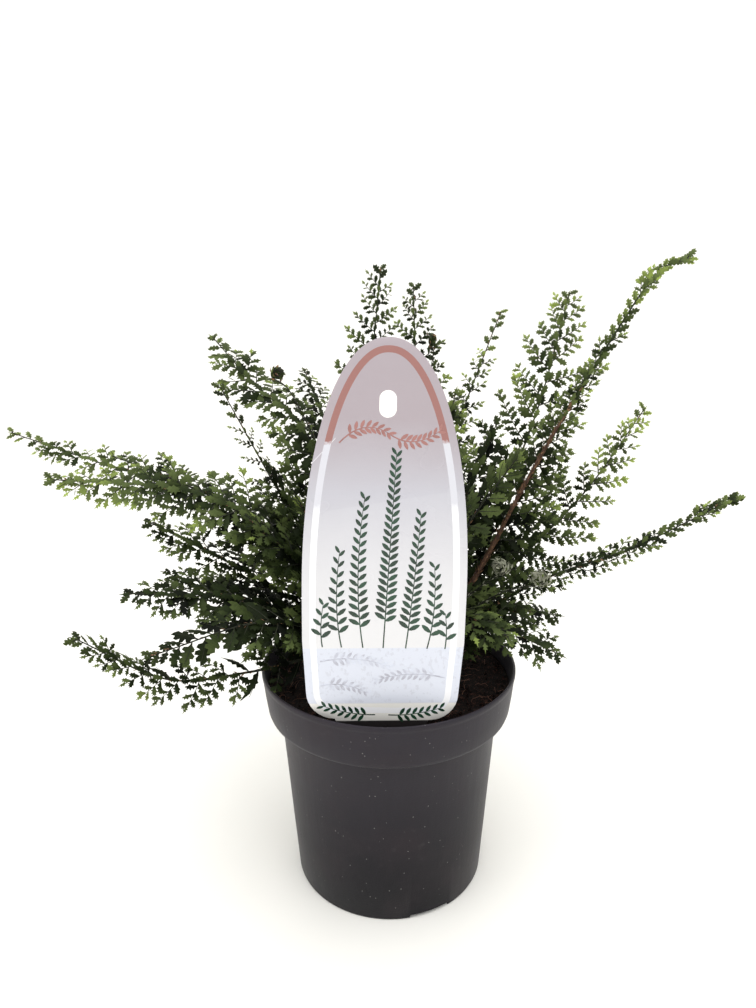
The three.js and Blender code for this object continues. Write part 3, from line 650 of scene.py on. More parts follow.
def kept_clear(points):
    """Moves leaf points back behind the label, and up off the peat and the pot's rim."""
    x, y, z = points.T
    up = z - LABEL_PLACE[2]
    lean = math.tan(math.radians(LABEL_LEAN))
    tilt = math.tan(math.radians(LABEL_TILT))
    beside = np.abs(x - LABEL_PLACE[0] - tilt * up) < label_half_width(up) + CLEAR["beside"]
    behind = LABEL_PLACE[1] + lean * up + CLEAR["label"]
    y = np.where(beside & (up < LABEL_TOP) & (y < behind), behind + 0.02 * (behind - y), y)
    reach = np.hypot(x, y)
    floor = np.where(reach < PEAT_REACH, PEAT_TOP + CLEAR["peat"], RIM_HEIGHT + CLEAR["rim"])
    low = (reach < RIM_RADIUS + CLEAR["outside"]) & (z < floor)
    z = np.where(low, floor + 0.03 * (z - floor), z)
    return np.stack([x, y, z], axis=1)


def pinna_share(along, even):
    """How long a pinna is, against the longest, by its place on the leafy part."""
    tapered = min(1, 0.72 + 1.1 * along) * (1 - along ** 1.9) + 0.1
    return mix(tapered, 0.6 * (1 - along ** 8) + 0.1, even)


def before_gap(points, bared):
    """How many of a rib's points come before one that hides bared points or fills the hole."""
    past = points[:, 1] + HOLE_SIGHT["from"]
    inside = past > 0
    for axis in (0, 2):
        (middle, drift), (half, spread) = HOLE_SIGHT[axis]
        inside &= np.abs(points[:, axis] - (middle + drift * past)) < half + spread * past
    seen, sight = points - VIEWPOINT, bared - VIEWPOINT
    near, far = np.linalg.norm(seen, axis=1), np.linalg.norm(sight, axis=1)
    cosine = (seen @ sight.T) / near[:, None] / far
    covers = (cosine > math.cos(SIGHT)) & (near[:, None] < far - 2)
    inside = inside | covers.any(axis=1)
    return int(np.argmax(inside)) if inside.any() else len(points)


class Pinna:
    """One pinna: an arched rib with leaflets along both sides and one at its tip."""

    def __init__(self, root, out, on, up, length):
        self.root = root
        self.out = out
        self.on = on
        self.up = up
        self.length = length

    def point(self, share):
        """A point of the rib, which arches down and bends towards the frond's tip."""
        bow = PINNA_ARCH * self.length * share ** 2
        return self.root + self.length * share * self.out + bow * (self.on - self.up)

    def way(self, share):
        """The rib's direction."""
        return unit(self.point(share + 0.02) - self.point(share - 0.02))

    def rib(self, thick):
        """The rib's line and radii."""
        return [(self.point(share), mix(thick, RIB_RADII["tip"], share))
                for share in (0, 0.25, 0.5, 0.75, 0.97)]


def grow_pinna(copies, pinna, course, spacing, age, random):
    """Adds a pinna's leaflets, the largest nearest the stalk. A short pinna is one leaflet."""
    tone = random.uniform(0.1, 0.9)
    if pinna.length < (course.whole if random.random() < course.share else WHOLE_PINNA):
        up = square(unit(pinna.up + random.normal(0, SINGLE_LEAFLET["tilt"], 3)), pinna.out)
        copies.add(course.shape if pinna.length > WHOLE_PINNA else "lobed", pinna.root,
                   pinna.out, square(pinna.on, up), up,
                   max(SINGLE_LEAFLET["least"], SINGLE_LEAFLET["factor"] * pinna.length),
                   age, tone)
        return
    count = max(1, round(pinna.length / spacing))
    largest = course.leaf * min(
        LEAFLET_SIZE["most"], LEAFLET_SIZE["least"] + LEAFLET_SIZE["per_length"] * pinna.length)
    if not course.red or pinna.length < BESIDE_RED_BELOW:
        beside = unit(0.85 * pinna.on + random.uniform(0.25, 0.6) * pinna.out + 0.12 * pinna.up)
        up = square(pinna.up, beside)
        copies.add("broad", pinna.root + 0.7 * pinna.up, beside, unit(np.cross(up, beside)), up,
                   largest * random.uniform(0.75, 1), age, tone)
    for i in range(count):
        for hand in (1, -1):
            share = (i + (FIRST_IN_PAIR if hand > 0 else SECOND_IN_PAIR)) / (count + 0.5)
            way = pinna.way(share)
            side = unit(np.cross(pinna.up, way)) * hand
            up = unit(np.cross(way, side) * hand + random.normal(0, LEAFLET_TILT, 3))
            angle = mix(*LEAFLET_ANGLES, share) + random.normal(0, LEAFLET_WOBBLE)
            out = unit(turned(way, side, math.radians(angle)))
            up = square(up, out)
            size = largest * mix(1, LEAFLET_TAPER, share ** 1.2) * random.uniform(*LEAFLET_CHANGE)
            kind = "broad" if random.random() < BROAD_SHARE else "narrow"
            copies.add(kind, pinna.point(share), out, square(way, out, up), up, size,
                       age + LIGHTER_OUTWARD * (share - 0.35),
                       float(np.clip(random.normal(tone, 0.2), 0, 1)))
    way = pinna.way(0.97)
    side = unit(np.cross(pinna.up, way))
    copies.add("pointed", pinna.point(0.9), way, side, np.cross(way, side),
               max(TIP_LEAFLET["least"], TIP_LEAFLET["factor"] * largest), age + 0.3,
               max(tone, 0.5))


# Materials


class Value:
    """A shader socket, on which Python's operators add Math nodes."""

    def __init__(self, palette, socket):
        self.palette = palette
        self.socket = socket

    def maths(self, operation, *operands):
        """The result of a Math node on these operands."""
        return self.palette.node("ShaderNodeMath", {"operation": operation},
                                 dict(enumerate(operands)))

    def __add__(self, other):
        return self.maths("ADD", self, other)

    __radd__ = __add__

    def __sub__(self, other):
        return self.maths("SUBTRACT", self, other)

    def __rsub__(self, other):
        return self.maths("SUBTRACT", other, self)

    def __mul__(self, other):
        return self.maths("MULTIPLY", self, other)

    __rmul__ = __mul__

    def __gt__(self, other):
        return self.maths("GREATER_THAN", self, other)

    def __lt__(self, other):
        return self.maths("LESS_THAN", self, other)


SOCKETS = {
    "base_color": "Base Color", "roughness": "Roughness", "normal": "Normal",
    "coat_weight": "Coat Weight", "coat_roughness": "Coat Roughness",
    "specular": "Specular IOR Level", "sheen": "Sheen Weight", "sheen_roughness": "Sheen Roughness",
}


class Palette:
    """The node tree of one material."""

    def __init__(self, name, **constants):
        self.material = bpy.data.materials.new(name)
        self.material.use_nodes = True
        self.tree = self.material.node_tree
        self.shader = self.tree.nodes["Principled BSDF"]
        for key, value in constants.items():
            self.shader.inputs[SOCKETS[key]].default_value = value

    def node(self, kind, settings=None, sockets=None, out=0):
        """Adds a node with its settings first, then its values and links."""
        node = self.tree.nodes.new(kind)
        for key, value in (settings or {}).items():
            if key == "stops":
                for i, (place, shade) in enumerate(value):
                    ramp = node.color_ramp.elements
                    stop = ramp[i] if i < len(ramp) else ramp.new(place)
                    stop.position = place
                    stop.color = (*shade, 1)
            else:
                setattr(node, key, value)
        for key, value in (sockets or {}).items():
            self.feed(node.inputs[key], value)
        return Value(self, node.outputs[out])

    def feed(self, socket, value):
        """Gives a socket a number or a link."""
        if isinstance(value, Value):
            self.tree.links.new(value.socket, socket)
        elif socket.type == "RGBA" and len(value) == 3:
            socket.default_value = (*value, 1)
        else:
            socket.default_value = value

    def paint(self, **channels):
        """Feeds the shader's sockets."""
        for key, value in channels.items():
            self.feed(self.shader.inputs[SOCKETS[key]], value)
        return self.material

    def place(self, stretch=(1, 1, 1)):
        """Object coordinates, stretched."""
        where = self.node("ShaderNodeTexCoord", out="Object")
        return self.node("ShaderNodeMapping", {}, {"Vector": where, "Scale": stretch})

    def part(self, vector, axis):
        """One coordinate of a vector."""
        return self.node("ShaderNodeSeparateXYZ", {}, {"Vector": vector}, axis)

    def noise(self, size, vector=None, detail=3.0, rough=0.55):
        """Soft noise from 0 to 1 whose lumps are about size across."""
        return self.node("ShaderNodeTexNoise", {}, {
            "Vector": vector or self.place(), "Scale": 1 / size, "Detail": detail,
            "Roughness": rough}, "Fac")

    def attribute(self, name):
        """A number that the mesh carries."""
        return self.node("ShaderNodeAttribute", {"attribute_name": name}, {}, "Fac")

    def step(self, value, low, high):
        """0 below low, 1 above high and a smooth rise between."""
        return self.node("ShaderNodeMapRange", {"interpolation_type": "SMOOTHSTEP"}, {
            "Value": value, "From Min": low, "From Max": high})

    def blend(self, share, a, b, mode="MIX"):
        """One colour over another."""
        return self.node("ShaderNodeMix", {"data_type": "RGBA", "blend_type": mode}, {
            0: share, 6: a, 7: b}, 2)

    def ramp(self, value, *stops):
        """Colours along a value."""
        return self.node("ShaderNodeValToRGB", {"stops": stops}, {"Fac": value})

    def bump(self, height, depth, strength=1.0, normal=None):
        """A surface raised by a height from 0 to 1, depth being its full rise."""
        sockets = {"Height": height, "Distance": depth, "Strength": strength}
        if normal:
            sockets["Normal"] = normal
        return self.node("ShaderNodeBump", {}, sockets)


def leaf_material(colours):
    """Soft satin leaf: dark inside the plant by painted shade, yellow-green at young tips partly by
    painted light, veined and mottled.
    """
    palette = Palette("fern_leaf", roughness=0.5, specular=0.06)
    age = palette.attribute("age")
    tone = palette.attribute("tone")
    sheet = palette.node("ShaderNodeUVMap", {"uv_map": "leaf"})
    along = palette.part(sheet, 0)
    across = palette.part(sheet, 1)
    under = across > 1.0
    patch = palette.noise(0.012, detail=2)
    mottle = palette.noise(0.0011, detail=4)
    # Painted light and shade: leaves low inside the plant are darkened and the outer leaflets and
    # tips lightened, on top of random tone and patches.
    lightness = age + 0.5 * (tone - 0.5) + 0.3 * (patch - 0.5) + 0.12 * (along - 0.5)
    base = palette.ramp(lightness, (0.0, colours.leaf_dark), (0.28, colours.leaf_mid),
                        (0.62, colours.leaf_olive), (0.98, colours.leaf_bright))
    base = palette.blend(palette.step(mottle, 0.35, 0.7) * 0.4, base, (0.5, 0.55, 0.42),
                         "MULTIPLY")
    vein = palette.node("ShaderNodeTexWave", {
        "wave_type": "BANDS", "bands_direction": "X", "wave_profile": "SIN"}, {
        "Vector": sheet, "Scale": 3.2, "Distortion": 2.4, "Detail": 1, "Detail Scale": 1.5}, "Fac")
    ridge = palette.step(vein, 0.78, 0.98)
    base = palette.blend(ridge * 0.22, base, (1.5, 1.45, 1.1), "MULTIPLY")
    # Painted shade: the undersides are pulled towards a dull dark green.
    base = palette.blend(under * 0.3, base, (0.045, 0.058, 0.034))
    grain = palette.bump(mottle + 0.5 * ridge, 0.0002, 0.5)
    return palette.paint(base_color=base, normal=grain,
                         roughness=0.4 + 0.16 * palette.noise(0.004))


def stalk_material(name, dark, light, above=None):
    """Ribbed stalk, dark with lighter streaks and brown bits, and green above where asked."""
    palette = Palette(name, specular=0.2)
    long = palette.noise(0.0018, palette.place((1, 1, 0.25)))
    fine = palette.noise(0.0006)
    base = palette.blend(palette.step(long, 0.35, 0.7), dark, light)
    base = palette.blend(palette.step(fine, 0.6, 0.75) * 0.35, base, (0.12, 0.065, 0.03))
    if above:
        height = palette.part(palette.place(), 2)
        base = palette.blend(palette.step(height, 0.235, 0.262), base, above)
    return palette.paint(base_color=base, roughness=0.5 + 0.3 * fine,
                         normal=palette.bump(fine, 0.0003, 0.7))


def scale_material(name, dark, light):
    """Dry papery scale."""
    palette = Palette(name, roughness=0.75, specular=0.2)
    tone = palette.attribute("tone")
    fine = palette.noise(0.0008)
    base = palette.blend(0.6 * tone + 0.4 * fine, dark, light)
    return palette.paint(base_color=base, roughness=0.65 + 0.25 * fine,
                         normal=palette.bump(fine, 0.0002, 0.6))


def pot_material(look):
    """Charcoal polypropylene with a satin grain, faint flow marks, scuffs and dust, painted in
    light at the band and in shade towards the foot.
    """
    palette = Palette("pot_plastic", specular=0.2, sheen=0.05, sheen_roughness=0.35)
    where = palette.place()
    height = palette.part(where, 2)
    cloud = palette.noise(0.03, detail=3)
    flow = palette.noise(0.006, palette.place((1, 1, 0.12)), detail=3)
    grain = palette.noise(0.0007, detail=2)
    # Painted light and shade: the one plastic is lit near the band and shaded towards the foot.
    base = palette.blend(palette.step(height, 0.0, 0.115), look.pot_foot_in_shade, look.pot_band_in_light)
    base = palette.blend(palette.step(cloud, 0.4, 0.75) * 0.5, base, look.pot_warm)
    base = palette.blend(palette.step(flow, 0.45, 0.8) * 0.25, base, (1.35, 1.32, 1.35),
                         "MULTIPLY")
    dots = palette.node("ShaderNodeTexVoronoi", {"feature": "F1"}, {
        "Vector": palette.place((1, 1, 0.8)), "Scale": 330, "Randomness": 1}, "Distance")
    thin = palette.noise(0.011, detail=2)
    dust = (dots < 0.085) * palette.step(thin, 0.46, 0.58)
    film = palette.step(palette.noise(0.004, detail=5), 0.56, 0.8) * palette.step(cloud, 0.45, 0.7)
    base = palette.blend(dust * 0.3 + film * 0.035, base, look.pot_dust)
    rough = 0.43 + 0.14 * cloud + 0.25 * dust
    face = palette.bump(grain, 0.00012, 0.5)
    face = palette.bump(flow, 0.0006, 0.25, face)
    return palette.paint(base_color=base, roughness=rough, normal=face)


def peat_material(look):
    """Damp peat, nearly black with red-brown crumbs."""
    palette = Palette("peat", specular=0.1)
    lumps = palette.noise(0.003, detail=5, rough=0.7)
    fine = palette.noise(0.0007, detail=4, rough=0.7)
    base = palette.ramp(lumps, (0.3, look.peat_dark), (0.58, look.peat_mid), (0.8, look.peat_red))
    base = palette.blend(palette.step(fine, 0.56, 0.68) * 0.7, base, look.peat_red)
    return palette.paint(base_color=base, roughness=0.75 + 0.2 * fine,
                         normal=palette.bump(lumps + 0.5 * fine, 0.0016, 0.9))


def print_material(name, ink, tint):
    """Printed ink on the glossy label."""
    palette = Palette(name, coat_weight=0.2, coat_roughness=0.1)
    fine = palette.noise(0.0006, detail=2)
    broad = palette.noise(0.006, detail=2)
    base = palette.blend(palette.step(broad, 0.35, 0.65), ink, tint)
    base = palette.blend(palette.step(fine, 0.55, 0.75) * 0.2, base, (0.8, 0.8, 0.8), "MULTIPLY")
    return palette.paint(base_color=base, roughness=0.22 + 0.12 * broad,
                         normal=palette.bump(fine, 0.00004, 0.4))


def sheet_material(look):
    """Glossy printed sheet: lilac grey above, bluish white below, with a pale band at the foot."""
    palette = Palette("label_sheet", coat_weight=0.25, coat_roughness=0.08)
    height = palette.part(palette.place(), 2)
    fine = palette.noise(0.0005, detail=2)
    haze = palette.noise(0.03, detail=2)
    crease = palette.noise(0.02, palette.place((1, 1, 9)), detail=3)
    base = palette.ramp(palette.step(height, 0.145, 0.275) + 0.1 * (haze - 0.5),
                        (0.0, look.sheet_low), (0.6, look.sheet_mid), (0.9, look.sheet_high))
    band = palette.step(height, 0.1208, 0.1212) * (1 - palette.step(height, 0.1478, 0.1482))
    base = palette.blend(band * 0.85, base, look.sheet_band)
    ghost = palette.step(palette.noise(0.0017, palette.place((1, 1, 0.7)), 4, 0.6), 0.56, 0.62)
    base = palette.blend(band * ghost * 0.28, base, (0.42, 0.42, 0.47))
    foot = 1 - palette.step(height, 0.1204, 0.1208)
    base = palette.blend(foot * 0.8, base, look.sheet_foot)
    base = palette.blend(palette.step(fine, 0.6, 0.8) * 0.08, base, (0.7, 0.7, 0.7), "MULTIPLY")
    aside = palette.part(palette.place(), 0)
    # Painted shade: the sheet above a shallow fold line is darkened slightly.
    fold_shade_line = height - 0.15 * aside - 0.215
    base = palette.blend(palette.step(fold_shade_line, 0.0, 0.0006) * 0.5, base, (0.93, 0.925, 0.94),
                         "MULTIPLY")
    scratch = height - 1.03 * aside - 0.2651
    scratch = (scratch < 0.0002) * (scratch > -0.0002) * (aside < -0.022)
    base = palette.blend(scratch * 0.6, base, look.stripe_white)
    # Painted shade: below the label's foot the stake, behind the pot's rim, is made dark and rough.
    stake_shade_mask = 1 - palette.step(height, 0.1118, 0.1124)
    base = palette.blend(stake_shade_mask, base, look.stake_shade)
    return palette.paint(base_color=base, roughness=0.2 + 0.12 * haze + 0.4 * stake_shade_mask,
                         normal=palette.bump(haze + 0.3 * crease, 0.0008, 0.25))


def stripe_material(look):
    """The stripe inside the label's edge: coral round the top, white down the sides."""
    palette = Palette("label_stripe", coat_weight=0.25, coat_roughness=0.08)
    height = palette.part(palette.place(), 2)
    fine = palette.noise(0.0008, detail=3)
    base = palette.ramp(palette.step(height + 0.003 * (fine - 0.5), 0.2, 0.25),
                        (0.12, look.stripe_white), (0.2, look.stripe_pale),
                        (0.89, look.stripe_pale), (0.92, look.stripe_coral))
    return palette.paint(base_color=base, roughness=0.2 + 0.1 * fine,
                         normal=palette.bump(fine, 0.00005, 0.4))


# Settings


def colour(name, description, default):
    """A colour setting."""
    return FloatVectorProperty(name=name, description=description, default=default,
                               subtype="COLOR", size=3, min=0, max=1)


def distance(name, description, default, low, high):
    """A length setting, in metres."""
    return FloatProperty(name=name, description=description, default=default,
                         min=low, max=high, unit="LENGTH", subtype="DISTANCE")


def amount(name, description, default, low, high):
    """A number of things."""
    return IntProperty(name=name, description=description, default=default, min=low, max=high)


def wattage(name, description, default):
    """The power of a lamp."""
    return FloatProperty(name=name, description=description, default=default,
                         min=0, max=500, unit="POWER")


class FernPotLook(bpy.types.PropertyGroup):
    """Colours of the pot and the peat."""

    # The foot and band colours are one plastic, painted in shade near the foot and in light near
    # the band.
    pot_foot_in_shade: colour("Foot", "Plastic near the foot", (0.0028, 0.0022, 0.0042))
    pot_band_in_light: colour("Band", "Plastic near the rim", (0.0205, 0.0175, 0.0235))
    pot_warm: colour("Cloud", "Browner clouds in the plastic", (0.021, 0.0145, 0.018))
    pot_dust: colour("Dust", "Specks of lime and dust", (0.42, 0.40, 0.38))
    peat_dark: colour("Wet peat", "Darkest peat", (0.001, 0.0007, 0.0006))
    peat_mid: colour("Peat", "Most of the peat", (0.006, 0.0034, 0.003))
    peat_red: colour("Fibrous peat", "Red-brown crumbs and fibres", (0.15, 0.066, 0.044))
    peat_straw: colour("Fibres", "Palest fibres", (0.34, 0.21, 0.14))
    pot_sides: amount("Sides", "Sides of the round pot", 120, 48, 240)
    crumbs: amount("Crumbs", "Loose crumbs on the peat", 620, 0, 2000)
    fibres: amount("Fibres", "Loose fibres on the peat", 170, 0, 600)


class FernLeafLook(bpy.types.PropertyGroup):
    """Sizes and colours of the fronds."""

    pinna_spacing: distance("Pinna spacing", "Between the pinnae of one side",
                            0.01, 0.006, 0.03)
    leaflet_spacing: distance("Leaflet spacing", "Between the leaflets of one side of a pinna",
                              0.0047, 0.003, 0.012)
    stalk_radius: distance("Stalk radius", "Half the thickness of a stalk at its foot",
                           0.00095, 0.0004, 0.003)
    scales: amount("Scales", "Brown scales on each stalk", 70, 0, 400)
    # Painted shade and light: the shaded leaf colour stands for shade inside the plant, and the
    # olive and young colours partly for light on the outer leaves.
    leaf_dark: colour("Shaded leaf", "Old leaves inside the plant", (0.0014, 0.0026, 0.0006))
    leaf_mid: colour("Leaf", "Most of the leaves", (0.015, 0.023, 0.0065))
    leaf_olive: colour("Olive leaf", "Leaves in full light", (0.085, 0.112, 0.036))
    leaf_bright: colour("Young leaf", "Young tips", (0.28, 0.36, 0.075))
    stalk_dark: colour("Stalk", "Dark stalk", (0.008, 0.009, 0.006))
    stalk_green: colour("Stalk streaks", "Lighter streaks on the stalks", (0.022, 0.026, 0.012))
    stalk_red: colour("Red stalk", "Thick scaly stalk of the tall frond", (0.040, 0.020, 0.013))
    stalk_tan: colour("Red stalk streaks", "Streaks on the thick stalk", (0.115, 0.062, 0.040))
    scale_dark: colour("Scale", "Dark scales", (0.055, 0.026, 0.014))
    scale_grey: colour("Grey scale", "Scales of the youngest croziers", (0.13, 0.14, 0.10))
    scale_pale: colour("Pale scale", "Pale scales of the youngest croziers", (0.36, 0.36, 0.27))
    scale_light: colour("Dry scale", "Light papery scales", (0.26, 0.15, 0.08))


class FernLabelLook(bpy.types.PropertyGroup):
    """Sizes and colours of the plant label."""

    edge: distance("Edge", "Bare edge outside the stripe", 0.0033, 0.001, 0.01)
    stripe: distance("Stripe", "Width of the stripe", 0.0028, 0.001, 0.01)
    sheet_high: colour("Sheet, top", "Lilac grey at the top", (0.385, 0.335, 0.36))
    sheet_mid: colour("Sheet, middle", "Pale lilac", (0.485, 0.48, 0.525))
    sheet_low: colour("Sheet, lower part", "Bluish white", (0.68, 0.675, 0.685))
    sheet_band: colour("Band", "Pale blue band", (0.60, 0.63, 0.72))
    sheet_foot: colour("Foot", "Cream foot", (0.80, 0.78, 0.72))
    stripe_coral: colour("Coral", "Stripe round the top", (0.305, 0.14, 0.125))
    stripe_pale: colour("Pale stripe", "Stripe below the coral", (0.60, 0.60, 0.65))
    stripe_white: colour("White stripe", "Stripe down the sides", (0.8, 0.8, 0.82))
    # The stake colour is painted shade where the stake stands behind the pot's rim.
    stake_shade: colour("Stake", "Peat smeared on the stake", (0.012, 0.009, 0.010))
    sprig_pale: colour("Pale sprig", "Faint sprigs on the band", (0.40, 0.40, 0.46))
    sprig_green: colour("Sprig", "Printed sprigs", (0.006, 0.026, 0.013))


class FernStageLook(bpy.types.PropertyGroup):
    """The floor and the light."""

    floor: colour("Floor", "Pale floor", (0.87, 0.858, 0.815))
    sky: FloatProperty(name="Sky", description="Strength of the light all round", default=0.9,
                       min=0, max=10)
    key: wattage("Key light", "Power of the soft light above the front", 13)
    fill: wattage("Fill light", "Power of the soft light at the left", 4)
    wall: wattage("Wall light", "Power of the light on the far wall", 22)


# Pieces


class FERN_OT_pot(bpy.types.Operator):
    """Builds the round nursery pot with its band, lip, drain holes and foot notches"""

    bl_idname = "fern.pot"
    bl_label = "Pot"

    def execute(self, context):
        look = context.scene.fern_pot
        course = [(POT_FOOT_RADIUS, 0), *POT_OUTSIDE, *POT_INSIDE]
        pot = turned_up("nursery_pot", course, look.pot_sides)
        for heading in POT_HEADINGS:
            cut(pot, self.notch(heading))
            cut(pot, self.drain(heading))
        pot.data.materials.append(pot_material(look))
        smooth(pot, 38)
        finished(pot, "pot_plastic", "pot")
        return {"FINISHED"}

    def notch(self, heading):
        """The cutter of one notch, with its upper corners rounded."""
        nothing_selected()
        length = NOTCH["to"] - NOTCH["from"]
        bpy.ops.mesh.primitive_cube_add(size=1)
        cutter = bpy.context.object
        with editing():
            bpy.ops.transform.resize(center_override=(0, 0, 0), value=(
                length * MM, NOTCH["width"] * MM, 2 * NOTCH["height"] * MM))
            bpy.ops.mesh.bevel(offset=NOTCH_ROUNDING * MM, segments=3)
        middle = polar(NOTCH["from"] + length / 2, heading, 0) * MM
        cutter.data.transform(
            Matrix.Translation(middle) @ Matrix.Rotation(math.radians(heading), 4, "Z"))
        return cutter

    def drain(self, heading):
        """The cutter of one drain hole."""
        nothing_selected()
        bpy.ops.mesh.primitive_cylinder_add(
            vertices=32, radius=DRAIN_RADIUS * MM, depth=14 * MM,
            location=polar(DRAIN_AT, heading, 0) * MM)
        return bpy.context.object


def peat_height(x, y):
    """How far the peat's top stands above or below its level, in millimetres."""
    broad = noise.noise(Vector((x * 0.035, y * 0.035, 3.1)))
    lumps = noise.noise(Vector((x * 0.16, y * 0.16, 7.7)))
    fine = noise.noise(Vector((x * 0.5, y * 0.5, 1.3)))
    return 1.3 * broad + 1.2 * lumps + 0.6 * fine


class FERN_OT_peat(bpy.types.Operator):
    """Builds the peat with its crumbs and fibres"""

    bl_idname = "fern.peat"
    bl_label = "Peat"

    def execute(self, context):
        look = context.scene.fern_pot
        rings = [(radius, PEAT_TOP) for radius in np.arange(60.6, 2, -1.6)]
        peat = turned_up("peat_body", [*PEAT_SIDE, *rings], 96)
        for vertex in peat.data.vertices:
            x, y, z = np.array(vertex.co) / MM
            if z > PEAT_TOP - 0.4 and math.hypot(x, y) < 61:
                vertex.co.z += peat_height(x, y) * MM
        material = peat_material(look)
        peat.data.materials.append(material)
        smooth(peat, 60)
        random = np.random.default_rng(11)
        crumbs = self.crumbs(look.crumbs, random)
        fibres = self.fibres(look.fibres, random)
        crumbs.data.materials.append(material)
        fibres.data.materials.append(
            scale_material("peat_fibre", look.peat_red, look.peat_straw))
        finished(joined("peat", peat, crumbs, fibres), "peat", "soil")
        return {"FINISHED"}

    def spot(self, random):
        """A place on the peat's top."""
        reach = 60.5 * math.sqrt(random.uniform(0.06, 1))
        place = polar(reach, random.uniform(0, 360), PEAT_TOP)
        place[2] += peat_height(place[0], place[1])
        return place

    def crumbs(self, count, random):
        """Uneven lumps, the larger ones few."""
        nothing_selected()
        bpy.ops.mesh.primitive_ico_sphere_add(subdivisions=1, radius=1)
        lump = bpy.context.object
        for vertex in lump.data.vertices:
            vertex.co *= 1 + 0.5 * noise.noise(vertex.co * 2.3)
        points, faces = shape_of(lump)
        all_points, all_faces = [], []
        for i in range(count):
            turn = np.array(Matrix.Rotation(random.uniform(0, 6.28), 3, Vector(unit(
                random.normal(size=3)))))
            size = 0.35 + 1.25 * random.random() ** 3
            stretched = points * size * random.uniform(0.6, 1.25, 3)
            place = self.spot(random) + np.array([0, 0, 0.25 * size])
            if math.hypot(place[0], place[1]) > 61 - size:
                place[:2] *= (PEAT_REACH - size) / 61
            all_points.append(stretched @ turn + place)
            all_faces.append(faces + i * len(points))
        return mesh_object("crumbs", np.concatenate(all_points), np.concatenate(all_faces))

    def fibres(self, count, random):
        """Thin bent threads lying on the peat."""
        lines = []
        for _ in range(count):
            place = self.spot(random)
            heading = random.uniform(0, 2 * math.pi)
            bend = random.normal(0, 0.5)
            length = random.uniform(3, 10)
            line = []
            for i in range(5):
                lift = 0.35 + 1.2 * math.sin(math.pi * i / 4) * random.uniform(0, 1)
                radius = 0.05 + 0.09 * (1 - i / 4) * random.uniform(0.6, 1)
                x, y = place[:2]
                reach = math.hypot(x, y)
                if reach > PEAT_REACH:
                    x, y = x * PEAT_REACH / reach, y * PEAT_REACH / reach
                line.append((np.array([x, y, PEAT_TOP + peat_height(x, y) + lift]), radius))
                heading += bend * random.uniform(0.5, 1.5)
                place = place + length / 4 * np.array([math.cos(heading), math.sin(heading), 0])
            lines.append(line)
        return tubes("fibres", lines, 0)


class FERN_OT_crown(bpy.types.Operator):
    """Builds the knobby crown, covered with papery scales"""

    bl_idname = "fern.crown"
    bl_label = "Crown"

    def execute(self, context):
        look = context.scene.fern_leaf
        nothing_selected()
        bpy.ops.mesh.primitive_uv_sphere_add(segments=48, ring_count=24, radius=1)
        dome = named(bpy.context.object, "crown_dome")
        for vertex in dome.data.vertices:
            x, y, z = vertex.co
            knob = 1 + 0.05 * noise.noise(vertex.co * 3.5)
            height = CROWN_HEIGHT if z > 0 else CROWN_DEPTH
            vertex.co = Vector((x * CROWN_RADIUS * knob * 0.97, y * CROWN_RADIUS * knob * 0.97,
                                PEAT_TOP + z * height * knob * 0.97)) * MM
        dome.data.materials.append(
            scale_material("crown_fibre", look.scale_dark, look.scale_light))
        smooth(dome, 60)
        random = np.random.default_rng(5)
        copies = Copies({"scale": Model(SCALE_OUTLINE, 0.05, 0.12, 0.1)})
        for _ in range(CROWN_SCALES):
            heading = random.uniform(0, 360)
            rise = math.radians(random.uniform(4, 85))
            normal = polar(math.cos(rise), heading, math.sin(rise))
            place = normal * np.array([CROWN_RADIUS, CROWN_RADIUS, CROWN_HEIGHT]) * 0.93
            place[2] += PEAT_TOP
            up = unit(normal + random.normal(0, 0.3, 3))
            out = unit(np.array([0, 0, 1.0]) + 0.7 * normal + random.normal(0, 0.35, 3))
            out = unit(out - up * (out @ up) + 0.25 * up)
            up = square(up, out)
            copies.add("scale", place, out, np.cross(up, out), up, random.uniform(3, 6),
                       tone=random.random())
        scales = copies.mesh("crown_scales")
        scales.data.materials.append(
            scale_material("crown_scale", look.scale_dark, look.scale_light))
        finished(joined("scaly_crown", dome, scales), "scaly_crown", "crown")
        return {"FINISHED"}


def label_place():
    """Moves the label's flat plane to where the label stands."""
    return (Matrix.Translation(Vector(LABEL_PLACE) * MM)
            @ Matrix.Rotation(math.radians(90 - LABEL_LEAN), 4, "X")
            @ Matrix.Rotation(math.radians(-LABEL_TILT), 4, "Z"))


def bent(a, b, c, t):
    """The point t along the bent line from a past b to c."""
    return (1 - t) ** 2 * a + 2 * t * (1 - t) * b + t * t * c


def tongue_outline():
    """The label's outline above its stake, from its foot round to the right and over the top."""
    power = 2 / LABEL_ROUNDNESS
    corner = LABEL_FOOT_HALF_WIDTH - LABEL_CORNER
    half = []
    for i in range(9):
        angle = math.radians(-90 + 90 * i / 8)
        half.append((corner + LABEL_CORNER * math.cos(angle),
                     LABEL_FOOT + LABEL_CORNER * (1 + math.sin(angle))))
    half.append((LABEL_HALF_WIDTH, LABEL_STRAIGHT_FROM))
    for i in range(32):
        angle = math.pi / 2 * i / 32
        half.append((LABEL_HALF_WIDTH * math.cos(angle) ** power,
                     mix(LABEL_SHOULDER, LABEL_TOP, math.sin(angle) ** power)))
    return [*half, (0, LABEL_TOP), *[(-x, y) for x, y in reversed(half)]]


